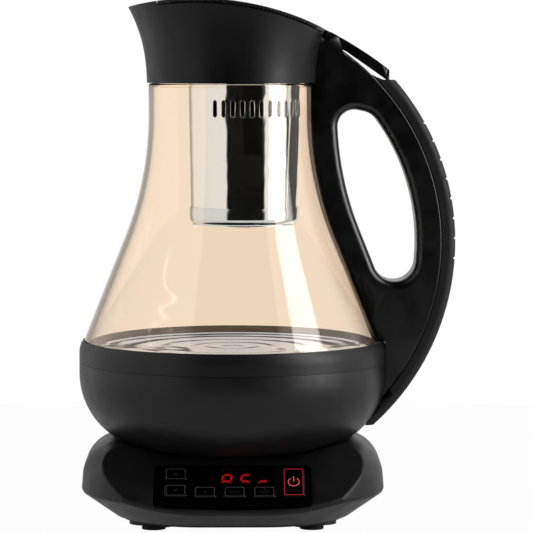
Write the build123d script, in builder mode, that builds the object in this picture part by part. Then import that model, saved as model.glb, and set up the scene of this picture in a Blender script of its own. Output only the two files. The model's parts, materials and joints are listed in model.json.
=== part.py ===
"""Electric tea maker: a glass jug with a steel infuser, standing on a powered base.

Millimetres, +Z up. The origin is on the jug's axis in the plane of the feet.
The handle points to +X, the spout to -X and the control panel to -Y.
"""

from build123d import *
import os
from math import asin, atan2, cos, degrees, radians, sin, sqrt, tan

os.makedirs("parts", exist_ok=True)

# Fits
fit_gap = 0.15
run_gap = 0.4
pin_gap = 0.05
overrun = 6.0
reach = 400.0
same_within = 0.01
aligned_share = 0.9999
low_align = (Align.CENTER, Align.CENTER, Align.MIN)

# Base shell
base_flat = 16.4
ridge_half = 82.4
skirt_in = 18.6
crown_in = 2.0
edge_half = ridge_half - skirt_in
crown_half = ridge_half - crown_in
edge_z = 4.9
ridge_z = 18.0
crown_z = 44.5
crown_radius = 19.0
cavity_radius = 11.0
base_wall = 2.6
seat_z = 40.0
seat_gap = 1.0
facet_slope = 40.0
facet_in = 21.3
facet_y = facet_in - ridge_half
facet_z = 25.2
facet_round = 2.2
ridge_round = 3.0

# Bottom cover, feet and screws
cover_in = 3.4
cover_half = edge_half - cover_in
cover_z = 3.4
cover_thick = 2.4
cover_rim = 2.0
cover_rim_high = 4.0
foot_radius = 6.4
foot_in_x = 17.9
foot_in_y = 18.4
foot_x = cover_half - foot_in_x
foot_y = cover_half - foot_in_y
foot_bar_wide = 5.0
foot_sunk = 1.0
pad_radius = 9.0
pad_in_x = 13.4
pad_in_y = 29.4
pad_x = cover_half - pad_in_x
pad_y = cover_half - pad_in_y
pad_z = 1.2
boss_radius = 4.2
boss_in = 8.4
boss_x = cover_half - boss_in
boss_back_y = 16.0
boss_front_y = -16.0
boss_low_z = 9.0
screw_radius = 1.5
screw_head_radius = 2.8
screw_head_high = 1.8
cover_screw_long = 10.5

# Control panel, keys and display
panel_wide = 83.6
panel_top = 15.4
panel_side_low = -13.8
panel_mid_low = -16.1
panel_corner = 3.2
panel_thick = 2.0
panel_proud = 0.4
panel_ledge = 1.5
key_columns = 5
key_margin_left = 11.45
key_margin_right = 9.4
key_pitch = (panel_wide - key_margin_left - key_margin_right) / (key_columns - 1)
key_space = 3.49
key_wide = key_pitch - key_space
key_corner = 1.6
key_gap = 0.2
key_proud = 0.5
key_flange = 0.7
key_flange_thick = 0.8
key_play = 0.05
key_stem_radius = 1.6
key_stem_long = 2.85
key_soft = 0.25
left_x = key_margin_left - panel_wide / 2
mode_1_x = left_x + key_pitch
mode_2_x = mode_1_x + key_pitch
mode_3_x = mode_2_x + key_pitch
power_x = mode_3_x + key_pitch
up_v = 8.7
down_v = -2.9
mode_v = -4.0
power_v = 2.9
arrow_high = 9.0
mode_high = 8.4
power_high = 20.4
window_column_share = 2.349
window_x = left_x + window_column_share * key_pitch
window_v = 8.0
window_span_share = 2.1036
window_wide = window_span_share * key_pitch
window_high = 10.8
window_corner = 1.0
display_depth = 4.5
display_in = 1.5
display_wide = window_wide - display_in
display_high = 12.4
digit_pitch_share = 0.3015
digit_wide_share = 0.563
digit_pitch = digit_pitch_share * window_wide
digit_wide = digit_wide_share * digit_pitch
digit_high = 10.0
digit_stroke = 1.1
digit_proud = 0.25
digit_slant = 8.0
board_depth = 10.1
board_thick = 1.6
board_rim = 4.4
board_foot_in = 15.0
board_shoulder_v = 0.0
board_low_v = -10.0
board_top_v = 14.0
board_post_out = 4.8
board_post_x = panel_wide / 2 + board_post_out
board_half = board_post_x + board_rim
board_foot_half = board_half - board_foot_in
board_post_v = 7.0
board_post_radius = 3.0
board_screw_radius = 1.2
board_screw_head_radius = 2.3
board_screw_head_high = 1.4
board_screw_long = 6.0
switch_wide = 6.0
switch_high = 3.4
switch_button_radius = 1.6
switch_button_high = 0.6

# Power board in the base
supply_in = 18.4
supply_y = cover_half - supply_in
supply_wide = 66.0
supply_deep = 30.0
supply_z = 11.0
supply_thick = 1.6
supply_post_radius = 2.6
supply_post_x = 28.0
supply_post_y = 10.0
relay_x = -20.0
relay_wide = 19.0
relay_deep = 15.5
relay_high = 15.0
transformer_x = 2.0
transformer_wide = 17.0
transformer_deep = 20.0
transformer_high = 14.0
capacitor_x = 22.0
capacitor_radius = 5.0
capacitor_high = 14.0

# Cord inlet
gland_z = 24.5
gland_radius = 5.2
gland_bore = 3.2
gland_deep = 6.4
gland_long = 10.0
gland_in_y = ridge_half - gland_deep
gland_out_y = gland_in_y + gland_long
gland_collar_radius = 6.8
gland_collar_gap = 0.2
gland_collar_y = ridge_half + gland_collar_gap
gland_collar_thick = 2.0

# Plug-in coupler between base and jug
coupler_radius = 18.6
coupler_top_z = 51.5
coupler_flange_radius = 26.0
coupler_flange_thick = 2.6
coupler_body_low_z = 25.0
coupler_body_radius = 22.0
coupler_round = 2.0
contact_radius = 12.5
contact_thick = 1.0
contact_groove = 2.4
contact_groove_deep = 7.0
contact_pin_radius = 2.0
contact_pin_bore = 2.8
base_contact_high = 1.2
socket_radius = 19.3
socket_top_z = 52.6
connector_radius = 22.4
connector_top_z = 58.0
connector_flange_radius = 29.0
connector_flange_thick = 2.4
jug_contact_long = 6.6
connector_screw_ring = 25.7
connector_screw_long = 4.3
bowl_hole = 20.4

# Bowl under the glass
bowl_arc_z = 80.0
bowl_radius = 40.8
bowl_wall = 2.8
bowl_top_z = 86.5
bowl_seam = 0.5

# Clamp ring, heater plate and what hangs under it
ring_wall = 2.6
ring_lip = 0.7
ring_shelf_in = 0.4
ring_shelf_thick = 2.1
ring_bend_z = 91.5
ring_top_z = 98.2
plate_top_z = 95.0
plate_clear = 2.25
plate_sheet = 1.4
plate_round = 3.0
seal_thick = 1.0
seal_lip_high = 4.4
spreader_radius = 58.0
spreader_thick = 4.0
element_ring = 46.0
element_tube = 3.6
element_arc = 300.0
element_tail = 14.0
sensor_ring = 20.0
cutout_radius = 7.5
cutout_high = 9.0
probe_radius = 3.0
probe_high = 16.0

# Glass jug
glass_wall = 2.8
glass_neck_r = 46.0
glass_flare_z = 222.0
glass_flare_radius = 180.0
glass_slope = 21.8
glass_cone_low_z = 100.5
glass_heel_radius = 10.0
glass_low_z = 91.0
glass_shoulder_z = 238.6
finish_r = 43.8
finish_inside = 41.2
finish_step = 2.0
finish_top_z = 248.0

# Collar, lid and the arc that tops them
collar_low_z = 238.9
collar_r = 46.8
collar_flare = 130.0
collar_draft_share = 0.02
collar_wall = 2.6
collar_bore = 44.0
collar_levels = (238.9, 252.0, 265.0, 278.0, 291.0)
beak_from_z = 252.0
beak_top_z = 291.0
beak_long = 5.0
ledge_inside = 41.0
ledge_low_z = 249.2
ledge_thick = 2.0
top_arc_x = -20.0
top_z = 284.2
top_arc_r = 160.0
top_arc_z = top_z - top_arc_r
lid_thick = 2.2
lid_gap = 0.3
lid_inset = 0.2
lid_front_x = -40.0
lid_plug_r = 43.6
lid_plug_wall = 2.0
lid_plug_drop = 4.4
lid_plug_front_x = -36.0
lid_seal_r = 44.9
lid_seal_up = 0.8
lid_seal_high = 2.2
lid_seal_groove = 0.8
liner_r = 41.2
liner_up = 0.4
liner_thick = 1.2
notch_half = 4.2
notch_drop = 6.0
lid_arm_x = 42.5
lid_arm_up = 0.6

# Lid hinge and thumb lever
pin_x = 54.0
pin_deep = 3.06
pin_radius = 1.25
pin_half = 12.6
knuckle_radius = 3.5
lid_knuckle_half = 3.0
lever_half = 8.2
prong_inside = 5.1
lever_tip_x = 85.3
lever_tip_thick = 5.0
lever_bend_x = 62.1
lever_bend_thick = 5.6
lever_slot_end_x = 60.0
lever_soft = 0.8
lever_arc_r = 205.0
coil_radius = 2.3
coil_wire = 0.3
coil_pitch = 0.7
coil_long = 0.9
coil_y = 3.6

# Handle and grip
handle_x = -13.3
handle_z = 152.0
handle_seam_r = 127.4
grip_r = 134.8
hole_r = 113.5
limb = 11.0
handle_half = 13.5
handle_gap = 0.2
handle_low_z = 52.0
handle_left_x = 40.0
hole_top_z = 226.5
hole_top_slope = 12.0
hole_round_left = 9.0
hole_round_right = 12.0
hole_round_low = 11.5
hole_edge = 4.5
seam_edge = 1.0
cheek_left_up = 6.0
cheek_right_x = 63.5
cheek_right_drop = 9.0
channel_half = 8.8
channel_drop = 14.4
channel_bend_x = 60.0
channel_end_x = 86.6
channel_end_drop = 4.9
ear_radius = 3.6
ear_foot_x = 60.0
ear_foot_drop = 7.5
grip_edge = 4.0
grip_tail_x = 66.0
scoop_mid_x = 74.0
scoop_mid_z = 244.4
scoop_end_x = 82.8
grip_top_up = 0.73
groove_count = 8
groove_first = 28.9
groove_pitch = -4.65
groove_deep = 0.9
upper_screw_z = 255.4
upper_screw_y = 11.1
upper_screw_long = 12.0
lower_screw_z = 79.0
lower_screw_y = 8.0
lower_screw_long = 7.5
handle_screw_radius = 1.3
handle_screw_head_radius = 2.5
handle_screw_head_high = 1.8

# Infuser and its cradle
infuser_x = 6.4
infuser_top_r = 30.7
infuser_low_r = 29.4
infuser_wall = 0.8
infuser_top_z = 246.4
infuser_low_z = 171.0
infuser_flange = 32.2
infuser_flange_thick = 0.9
rim_low_z = 246.4
rim_high = 3.4
rim_inside = 28.6
rim_notch = 9.0
slot_count = 16
slot_first = -121.25
slot_pitch = 9.7
slot_low_z = 220.4
slot_high_z = 229.6
slot_wide = 2.2
cap_r = 30.0
cap_low_z = 161.4
cap_wall = 1.0
cap_round = 4.0
cap_lip_high = 3.0
cap_mouth_r = 21.0
mesh_r = 22.6
mesh_wall = 0.5
mesh_drop = 3.0
mesh_hole = 0.9
mesh_ring_step = 3.4
mesh_rings = 5
mesh_ring_holes = 6
cradle_flange = 44.4
cradle_out_r = 40.6
cradle_wall = 1.6
cradle_plate_low_z = 243.3
cradle_plate_thick = 2.0
cradle_hole = 31.3
pour_ring = 35.6
pour_long = 5.6
pour_wide = 1.8
pour_count = 9
pour_pitch = 12.0


def save(block, name):
    """Label a finished piece and write its STEP file."""
    block.part.label = name
    export_step(block.part, f"parts/{name}.step")


def tube(outer, inner, low, high):
    """Add an upright ring on the jug's axis to the piece being built."""
    with Locations((0, 0, low)):
        Cylinder(outer, high - low, align=low_align)
        Cylinder(inner, high - low, align=low_align, mode=Mode.SUBTRACT)


def disc(radius, low, high, mode=Mode.ADD):
    """Add or cut an upright cylinder at the active places."""
    with Locations((0, 0, low)):
        Cylinder(radius, high - low, align=low_align, mode=mode)


def base_outline(half, z):
    """Draw the base's rounded square at a height. Its flats keep one length."""
    with BuildSketch(Plane.XY.offset(z)) as outline:
        RectangleRounded(2 * half, 2 * half, half - base_flat)
    return outline.sketch


def base_form(edge, ridge, crown, low, bend, top):
    """Build the base's outer or inner form: a flared skirt under a tall crown."""
    loft([base_outline(edge, low), base_outline(ridge, bend)], ruled=True)
    loft([base_outline(ridge, bend), base_outline(crown, top)], ruled=True)


def panel_outline(plane, grow):
    """Draw the panel's outline: straight sides and a bowed lower edge."""
    half = panel_wide / 2
    with BuildSketch(plane) as outline:
        with BuildLine():
            Polyline(
                (-half, panel_side_low),
                (-half, panel_top),
                (half, panel_top),
                (half, panel_side_low),
            )
            ThreePointArc((half, panel_side_low), (0, panel_mid_low), (-half, panel_side_low))
        make_face()
        fillet(outline.vertices(), panel_corner)
        if grow:
            offset(amount=grow)
    return outline.sketch


def glass_profile(inset, low, high):
    """Draw the glass's section from the axis out, at a depth under its outer face."""
    slope = radians(glass_slope)
    lean = (cos(slope), sin(slope))
    neck = glass_neck_r - inset
    flare_radius = glass_flare_radius + inset
    heel_radius = glass_heel_radius - inset
    flare_x = glass_neck_r + glass_flare_radius
    bend = (flare_x - flare_radius * lean[0], glass_flare_z - flare_radius * lean[1])
    heel_top = (glass_cone_r - inset * lean[0], glass_cone_low_z - inset * lean[1])
    with BuildSketch(Plane.XZ) as profile:
        with BuildLine():
            Line((neck, high), (neck, glass_flare_z))
            CenterArc((flare_x, glass_flare_z), flare_radius, 180, glass_slope)
            Line(bend, heel_top)
            CenterArc((glass_foot_r - glass_heel_radius, glass_heel_z), heel_radius, 0, glass_slope)
            Polyline(
                (glass_foot_r - inset, glass_heel_z),
                (glass_foot_r - inset, low),
                (0, low),
                (0, high),
                (neck, high),
            )
        make_face()
    return profile.sketch


def flare(z):
    """Radius of the collar's flare at a height."""
    rise = z - collar_low_z
    return collar_r + collar_flare - sqrt(collar_flare**2 - rise**2) + collar_draft_share * rise


def beak(z):
    """How far the spout's beak stands out beyond the round flare at a height."""
    share = max(z - beak_from_z, 0) / (beak_top_z - beak_from_z)
    return beak_long * share**2


def collar_section(z, inset):
    """Draw the collar's level section: half round behind, half ellipse at the spout."""
    side = flare(z) - inset
    with BuildSketch(Plane.XY.offset(z)) as section:
        with BuildLine():
            CenterArc((0, 0), side, -90, 180)
            EllipticalCenterArc((0, 0), side + beak(z), side, start_angle=90, arc_size=180)
        make_face()
    return section.sketch


def collar_form(inset, low, mode=Mode.ADD):
    """Loft the collar's form from a lower level to above the rim."""
    levels = [low] + [z for z in collar_levels if z > low]
    loft([collar_section(z, inset) for z in levels], mode=mode)


def top_cylinder(radius, mode):
    """Keep or cut what lies inside the long arc over spout, lid and lever."""
    with BuildSketch(Plane.XZ) as round_top:
        with Locations((top_arc_x, top_arc_z)):
            Circle(radius)
    extrude(round_top.sketch, amount=reach, both=True, mode=mode)


def top_height(x):
    """Height of the long arc over spout, lid and lever."""
    return top_arc_z + sqrt(top_arc_r**2 - (x - top_arc_x) ** 2)


def screw(head_radius, head_high, radius, length):
    """Add a screw at the active places, its shank along +Z and its head below zero."""
    Cylinder(radius, length, align=low_align)
    Cylinder(head_radius, head_high, align=(Align.CENTER, Align.CENTER, Align.MAX))


facet = Plane(
    origin=(0, facet_y, facet_z),
    x_dir=(1, 0, 0),
    z_dir=(0, -sin(radians(facet_slope)), cos(radians(facet_slope))),
)
glass_turn = radians(glass_slope)
glass_bend_r = glass_neck_r + glass_flare_radius * (1 - cos(glass_turn))
glass_bend_z = glass_flare_z - glass_flare_radius * sin(glass_turn)
glass_cone_r = glass_bend_r + (glass_bend_z - glass_cone_low_z) * tan(glass_turn)
glass_foot_r = glass_cone_r + glass_heel_radius * (1 - cos(glass_turn))
glass_heel_z = glass_cone_low_z - glass_heel_radius * sin(glass_turn)
glass_foot_inside = glass_foot_r - glass_wall
ring_wall_inside = glass_foot_r + fit_gap
ring_top_r = ring_wall_inside + ring_lip
bowl_side_r = ring_wall_inside + ring_wall
bowl_arc_r = bowl_side_r - bowl_radius
plate_radius = glass_foot_inside - plate_clear
plate_flange = ring_wall_inside - run_gap
ring_shelf = plate_radius - ring_shelf_in
screw_low_z = upper_screw_z - handle_screw_head_radius
upper_wall_r = flare(screw_low_z) - collar_wall
upper_screw_x = sqrt(upper_wall_r**2 - (upper_screw_y + handle_screw_head_radius) ** 2) - handle_gap
lower_drop = bowl_arc_z - lower_screw_z + handle_screw_head_radius
lower_wall_r = bowl_arc_r + sqrt((bowl_radius - bowl_wall) ** 2 - lower_drop**2)
lower_screw_x = sqrt(lower_wall_r**2 - (lower_screw_y + handle_screw_head_radius) ** 2) - handle_gap
handle_screw_places = (
    (upper_screw_x, upper_screw_y, upper_screw_z, upper_screw_long),
    (lower_screw_x, lower_screw_y, lower_screw_z, lower_screw_long),
)
pin_z = top_height(pin_x) - pin_deep
lever_arc_share = lever_arc_r / top_arc_r
lever_arc_x = pin_x - (pin_x - top_arc_x) * lever_arc_share
lever_arc_z = top_height(pin_x) - (top_height(pin_x) - top_arc_z) * lever_arc_share
lever_bend_z = top_height(lever_bend_x) - lever_bend_thick
lever_tip_low_z = top_height(lever_tip_x) - lever_tip_thick
lid_plug_low_z = pin_z - lid_plug_drop
lid_seal_low_z = lid_plug_low_z + lid_seal_up
lid_arm_low_z = pin_z + lid_arm_up
liner_z = lid_plug_low_z + liner_up
notch_low_z = pin_z - notch_drop
cheek_left_z = pin_z + cheek_left_up
cheek_right_z = pin_z - cheek_right_drop
channel_low_z = pin_z - channel_drop
channel_end_z = lever_tip_low_z - channel_end_drop
ear_foot_z = pin_z - ear_foot_drop
grip_top_z = lever_tip_low_z + grip_top_up
panel_under = panel_proud - panel_thick
keys = {
    "key_up": (left_x, up_v, arrow_high),
    "key_down": (left_x, down_v, arrow_high),
    "key_mode_1": (mode_1_x, mode_v, mode_high),
    "key_mode_2": (mode_2_x, mode_v, mode_high),
    "key_mode_3": (mode_3_x, mode_v, mode_high),
    "key_power": (power_x, power_v, power_high),
}
feet_places = [(sx * foot_x, sy * foot_y) for sx in (-1, 1) for sy in (-1, 1)]
pad_places = [(sx * pad_x, sy * pad_y) for sx in (-1, 1) for sy in (-1, 1)]
boss_places = [(sx * boss_x, y) for sx in (-1, 1) for y in (boss_front_y, boss_back_y)]
board_posts = [(-board_post_x, board_post_v), (board_post_x, board_post_v)]
supply_posts = [
    (sx * supply_post_x, supply_y + sy * supply_post_y) for sx in (-1, 1) for sy in (-1, 1)
]
cavity_top_z = seat_z - base_wall
skirt_share = (ridge_half - edge_half) / (ridge_z - edge_z)

# Base shell
with BuildPart() as base_cavity:
    base_form(
        edge_half - base_wall - overrun * skirt_share,
        ridge_half - base_wall,
        crown_half - base_wall,
        edge_z - overrun,
        ridge_z,
        cavity_top_z,
    )
    fillet(base_cavity.edges().group_by(Axis.Z)[-1], cavity_radius)
    with BuildSketch(facet.offset(-base_wall)):
        Rectangle(reach, reach)
    extrude(amount=reach, mode=Mode.SUBTRACT)

bowl_clear = bowl_radius + seat_gap
with BuildPart() as base_shell:
    base_form(edge_half, ridge_half, crown_half, edge_z, ridge_z, crown_z)
    fillet(base_shell.edges().group_by(Axis.Z)[-1], crown_radius)
    with BuildSketch(facet):
        Rectangle(reach, reach)
    extrude(amount=reach, mode=Mode.SUBTRACT)
    facet_faces = base_shell.faces().filter_by(
        lambda f: f.geom_type == GeomType.PLANE and f.normal_at().dot(facet.z_dir) > aligned_share
    )
    fillet(facet_faces.edges(), facet_round)
    ridge_edges = base_shell.edges().filter_by(
        lambda e: abs(e.bounding_box().min.Z - ridge_z) < same_within
        and abs(e.bounding_box().max.Z - ridge_z) < same_within
    )
    fillet(ridge_edges, ridge_round)
    add(base_cavity.part, mode=Mode.SUBTRACT)
    with BuildSketch(Plane.XZ):
        with BuildLine():
            floor_r = bowl_arc_r + sqrt(bowl_clear**2 - (bowl_arc_z - seat_z) ** 2)
            floor_angle = -degrees(asin((bowl_arc_z - seat_z) / bowl_clear))
            CenterArc((bowl_arc_r, bowl_arc_z), bowl_clear, floor_angle, -floor_angle)
            Polyline(
                (bowl_arc_r + bowl_clear, bowl_arc_z), (0, bowl_arc_z), (0, seat_z), (floor_r, seat_z)
            )
        make_face()
    revolve(axis=Axis.Z, mode=Mode.SUBTRACT)
    disc(coupler_radius + fit_gap, cavity_top_z - overrun, seat_z + overrun, Mode.SUBTRACT)
    extrude(panel_outline(facet.offset(panel_under), fit_gap), amount=overrun, mode=Mode.SUBTRACT)
    panel_through = panel_outline(facet.offset(-base_wall - overrun), -panel_ledge)
    extrude(panel_through, amount=2 * overrun, mode=Mode.SUBTRACT)
    # Bosses for the cover's screws reach from the crown's inside down to the cover
    with BuildSketch(Plane.XY.offset(boss_low_z)):
        with Locations(*boss_places):
            Circle(boss_radius)
    extrude(amount=cavity_top_z - boss_low_z + fit_gap)
    with BuildSketch(Plane.XY.offset(boss_low_z - overrun)):
        with Locations(*boss_places):
            Circle(screw_radius + pin_gap)
    extrude(amount=overrun + cover_screw_long, mode=Mode.SUBTRACT)
    # Posts for the control board stand under the facet
    with BuildSketch(facet.offset(-board_depth)):
        with Locations(*board_posts):
            Circle(board_post_radius)
    extrude(amount=board_depth - base_wall + fit_gap)
    with BuildSketch(facet.offset(-board_depth)):
        with Locations(*board_posts):
            Circle(board_screw_radius + pin_gap)
    extrude(amount=board_screw_long - board_thick + fit_gap, mode=Mode.SUBTRACT)
    # The hole for the cord inlet
    with BuildSketch(Plane.XZ.offset(-gland_in_y)):
        with Locations((0, gland_z)):
            Circle(gland_radius + fit_gap)
    extrude(amount=-2 * overrun, mode=Mode.SUBTRACT)
save(base_shell, "base_shell")

# Rubber feet: four pads joined by a cross, in one moulding
foot_high = cover_z + foot_sunk
foot_diagonal = degrees(atan2(foot_y, foot_x))
with BuildSketch() as foot_outline:
    with Locations(*feet_places):
        Circle(foot_radius)
    for turn in (foot_diagonal, -foot_diagonal):
        Rectangle(2 * sqrt(foot_x**2 + foot_y**2), foot_bar_wide, rotation=turn)
with BuildPart() as base_feet:
    extrude(foot_outline.sketch, amount=foot_high)
save(base_feet, "base_feet")

# Bottom cover with a rim, corner pads, screw posts and posts for the power board
cover_top_z = cover_z + cover_thick
head_top_z = cover_z + fit_gap + screw_head_high
with BuildPart() as base_bottom:
    extrude(base_outline(cover_half, cover_z), amount=cover_thick + cover_rim_high)
    extrude(
        base_outline(cover_half - cover_rim, cover_top_z), amount=overrun, mode=Mode.SUBTRACT
    )
    with BuildSketch(Plane.XY.offset(pad_z)):
        with Locations(*pad_places):
            Circle(pad_radius)
    extrude(amount=cover_z + foot_sunk - pad_z)
    with BuildSketch(Plane.XY.offset(cover_top_z - foot_sunk)):
        with Locations(*boss_places):
            Circle(boss_radius)
    extrude(amount=boss_low_z - cover_top_z + foot_sunk)
    with BuildSketch(Plane.XY.offset(cover_top_z - foot_sunk)):
        with Locations(*supply_posts):
            Circle(supply_post_radius)
    extrude(amount=supply_z - cover_top_z + foot_sunk)
    with BuildSketch(Plane.XY.offset(cover_z - overrun)):
        with Locations(*boss_places):
            Circle(screw_radius + fit_gap)
    extrude(amount=3 * overrun, mode=Mode.SUBTRACT)
    with BuildSketch(Plane.XY.offset(head_top_z)):
        with Locations(*boss_places):
            Circle(screw_head_radius + fit_gap)
    extrude(amount=-overrun, mode=Mode.SUBTRACT)
    with BuildSketch(Plane.XY.offset(cover_z + foot_sunk)) as foot_bed:
        add(foot_outline.sketch)
        offset(amount=fit_gap)
    extrude(amount=-overrun, mode=Mode.SUBTRACT)
save(base_bottom, "base_bottom")

with BuildPart(Plane.XY.offset(head_top_z)) as base_screws:
    with Locations(*boss_places):
        screw(screw_head_radius, screw_head_high, screw_radius, cover_screw_long)
save(base_screws, "base_screws")

# Cord inlet, a short collar with a bore for the cord
with BuildPart() as cord_gland:
    with BuildSketch(Plane.XZ.offset(-gland_in_y)):
        with Locations((0, gland_z)):
            Circle(gland_radius)
    extrude(amount=gland_in_y - gland_out_y)
    with BuildSketch(Plane.XZ.offset(-gland_collar_y)):
        with Locations((0, gland_z)):
            Circle(gland_collar_radius)
    extrude(amount=-gland_collar_thick)
    with BuildSketch(Plane.XZ.offset(-gland_in_y + overrun)):
        with Locations((0, gland_z)):
            Circle(gland_bore)
    extrude(amount=gland_in_y - gland_out_y - 2 * overrun, mode=Mode.SUBTRACT)
save(cord_gland, "cord_gland")

# Control panel
with BuildPart() as control_panel:
    extrude(panel_outline(facet.offset(panel_under), 0), amount=panel_thick)
    with BuildSketch(facet.offset(panel_under - overrun)):
        for key_x, key_v, key_high in keys.values():
            with Locations((key_x, key_v)):
                RectangleRounded(key_wide, key_high, key_corner)
        with Locations((window_x, window_v)):
            RectangleRounded(window_wide, window_high, window_corner)
    extrude(amount=3 * overrun, mode=Mode.SUBTRACT)
save(control_panel, "control_panel")

with BuildPart() as display_lens:
    with BuildSketch(facet.offset(panel_under)):
        with Locations((window_x, window_v)):
            RectangleRounded(window_wide - 2 * fit_gap, window_high - 2 * fit_gap, window_corner)
    extrude(amount=panel_thick)
save(display_lens, "display_lens")

# Keys: a cap through the panel, a flange under it and a stem over the switch
key_top = panel_proud + key_proud
flange_top = panel_under - key_play
for key_name, (key_x, key_v, key_high) in keys.items():
    cap_wide = key_wide - 2 * key_gap
    cap_high = key_high - 2 * key_gap
    with BuildPart() as key:
        with BuildSketch(facet.offset(flange_top - key_flange_thick)):
            with Locations((key_x, key_v)):
                RectangleRounded(cap_wide, cap_high, key_corner - key_gap)
        extrude(amount=key_top - flange_top + key_flange_thick)
        fillet(key.faces().sort_by(Axis(facet.origin, facet.z_dir))[-1].edges(), key_soft)
        with BuildSketch(facet.offset(flange_top - key_flange_thick)):
            with Locations((key_x, key_v)):
                RectangleRounded(cap_wide + 2 * key_flange, cap_high + 2 * key_flange, key_corner)
        extrude(amount=key_flange_thick)
        with BuildSketch(facet.offset(flange_top - key_flange_thick)):
            with Locations((key_x, key_v)):
                Circle(key_stem_radius)
        extrude(amount=-key_stem_long)
    save(key, key_name)

# Display module behind the window, and its lit strokes
with BuildPart() as display_module:
    with BuildSketch(facet.offset(-board_depth)):
        with Locations((window_x, window_v)):
            Rectangle(display_wide, display_high)
    extrude(amount=board_depth - display_depth)
save(display_module, "display_module")

half_wide = (digit_wide - digit_stroke) / 2
half_high = (digit_high - digit_stroke) / 2
across = digit_wide - 2 * digit_stroke
upright = half_high - digit_stroke
strokes = {
    "a": (0, half_high, across, digit_stroke),
    "b": (half_wide, half_high / 2, digit_stroke, upright),
    "c": (half_wide, -half_high / 2, digit_stroke, upright),
    "d": (0, -half_high, across, digit_stroke),
    "e": (-half_wide, -half_high / 2, digit_stroke, upright),
    "f": (-half_wide, half_high / 2, digit_stroke, upright),
    "g": (0, 0, across, digit_stroke),
}
with BuildPart() as display_digits:
    for place, lit in zip((-1, 0, 1), ("abcdefg", "acdfg", "deg")):
        for letter in lit:
            stroke_x, stroke_v, stroke_wide, stroke_high = strokes[letter]
            centre_x = window_x + place * digit_pitch + stroke_x
            corners = [
                (centre_x + sx * stroke_wide / 2, stroke_v + sv * stroke_high / 2)
                for sx, sv in ((-1, -1), (1, -1), (1, 1), (-1, 1))
            ]
            with BuildSketch(facet.offset(-display_depth)):
                slanted = [(x + v * tan(radians(digit_slant)), window_v + v) for x, v in corners]
                Polygon(*slanted, align=None)
    extrude(amount=digit_proud)
save(display_digits, "display_digits")

with BuildPart() as control_board:
    with BuildSketch(facet.offset(-board_depth - board_thick)):
        with BuildLine():
            Polyline(
                (-board_foot_half, board_low_v),
                (board_foot_half, board_low_v),
                (board_half, board_shoulder_v),
                (board_half, board_top_v),
                (-board_half, board_top_v),
                (-board_half, board_shoulder_v),
                close=True,
            )
        make_face()
        with Locations(*board_posts):
            Circle(board_screw_radius + fit_gap, mode=Mode.SUBTRACT)
    extrude(amount=board_thick)
save(control_board, "control_board")

with BuildPart(facet.offset(-board_depth)) as tact_switches:
    with Locations(*[(key_x, key_v) for key_x, key_v, key_high in keys.values()]):
        Box(switch_wide, switch_wide, switch_high, align=low_align)
        Cylinder(switch_button_radius, switch_high + switch_button_high, align=low_align)
save(tact_switches, "tact_switches")

with BuildPart(facet.offset(-board_depth - board_thick)) as board_screws:
    with Locations(*board_posts):
        screw(board_screw_head_radius, board_screw_head_high, board_screw_radius, board_screw_long)
save(board_screws, "board_screws")

# Power board and what is soldered to it
with BuildPart() as power_board:
    with BuildSketch(Plane.XY.offset(supply_z)):
        with Locations((0, supply_y)):
            Rectangle(supply_wide, supply_deep)
    extrude(amount=supply_thick)
save(power_board, "power_board")

parts_z = supply_z + supply_thick
with BuildPart(Plane.XY.offset(parts_z)) as heater_relay:
    with Locations((relay_x, supply_y)):
        Box(relay_wide, relay_deep, relay_high, align=low_align)
save(heater_relay, "heater_relay")

with BuildPart(Plane.XY.offset(parts_z)) as supply_transformer:
    with Locations((transformer_x, supply_y)):
        Box(transformer_wide, transformer_deep, transformer_high, align=low_align)
save(supply_transformer, "supply_transformer")

with BuildPart(Plane.XY.offset(parts_z)) as supply_capacitor:
    with Locations((capacitor_x, supply_y)):
        Cylinder(capacitor_radius, capacitor_high, align=low_align)
save(supply_capacitor, "supply_capacitor")

# Coupler post on the base, with a ring groove and a centre bore for the contacts
groove_low_z = coupler_top_z - contact_groove_deep
with BuildPart() as base_coupler:
    disc(coupler_radius, coupler_body_low_z, coupler_top_z)
    fillet(base_coupler.edges().group_by(Axis.Z)[-1], coupler_round)
    disc(coupler_flange_radius, cavity_top_z - coupler_flange_thick, cavity_top_z)
    disc(coupler_body_radius, coupler_body_low_z, cavity_top_z - coupler_flange_thick)
    with BuildSketch(Plane.XY.offset(groove_low_z)):
        Circle(contact_radius + contact_groove / 2)
        Circle(contact_radius - contact_groove / 2, mode=Mode.SUBTRACT)
        Circle(contact_pin_bore)
    extrude(amount=contact_groove_deep + overrun, mode=Mode.SUBTRACT)
save(base_coupler, "base_coupler")

with BuildPart() as base_contacts:
    with BuildSketch(Plane.XY.offset(groove_low_z)):
        Circle(contact_radius + contact_thick / 2)
        Circle(contact_radius - contact_thick / 2, mode=Mode.SUBTRACT)
        Circle(contact_pin_radius)
    extrude(amount=base_contact_high)
save(base_contacts, "base_contacts")

# Bowl that carries the jug
bowl_floor_z = seat_z + bowl_wall


def bowl_profile(grow, low, top):
    """Draw the bowl's section from the axis out: a flat floor, a round side, an upright wall."""
    radius = bowl_radius + grow
    drop = bowl_arc_z - low
    start = -degrees(asin(drop / radius))
    with BuildSketch(Plane.XZ) as profile:
        with BuildLine():
            CenterArc((bowl_arc_r, bowl_arc_z), radius, start, -start)
            Polyline(
                (bowl_arc_r + radius, bowl_arc_z),
                (bowl_arc_r + radius, top),
                (0, top),
                (0, low),
                (bowl_arc_r + sqrt(radius**2 - drop**2), low),
            )
        make_face()
    return profile.sketch


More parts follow.
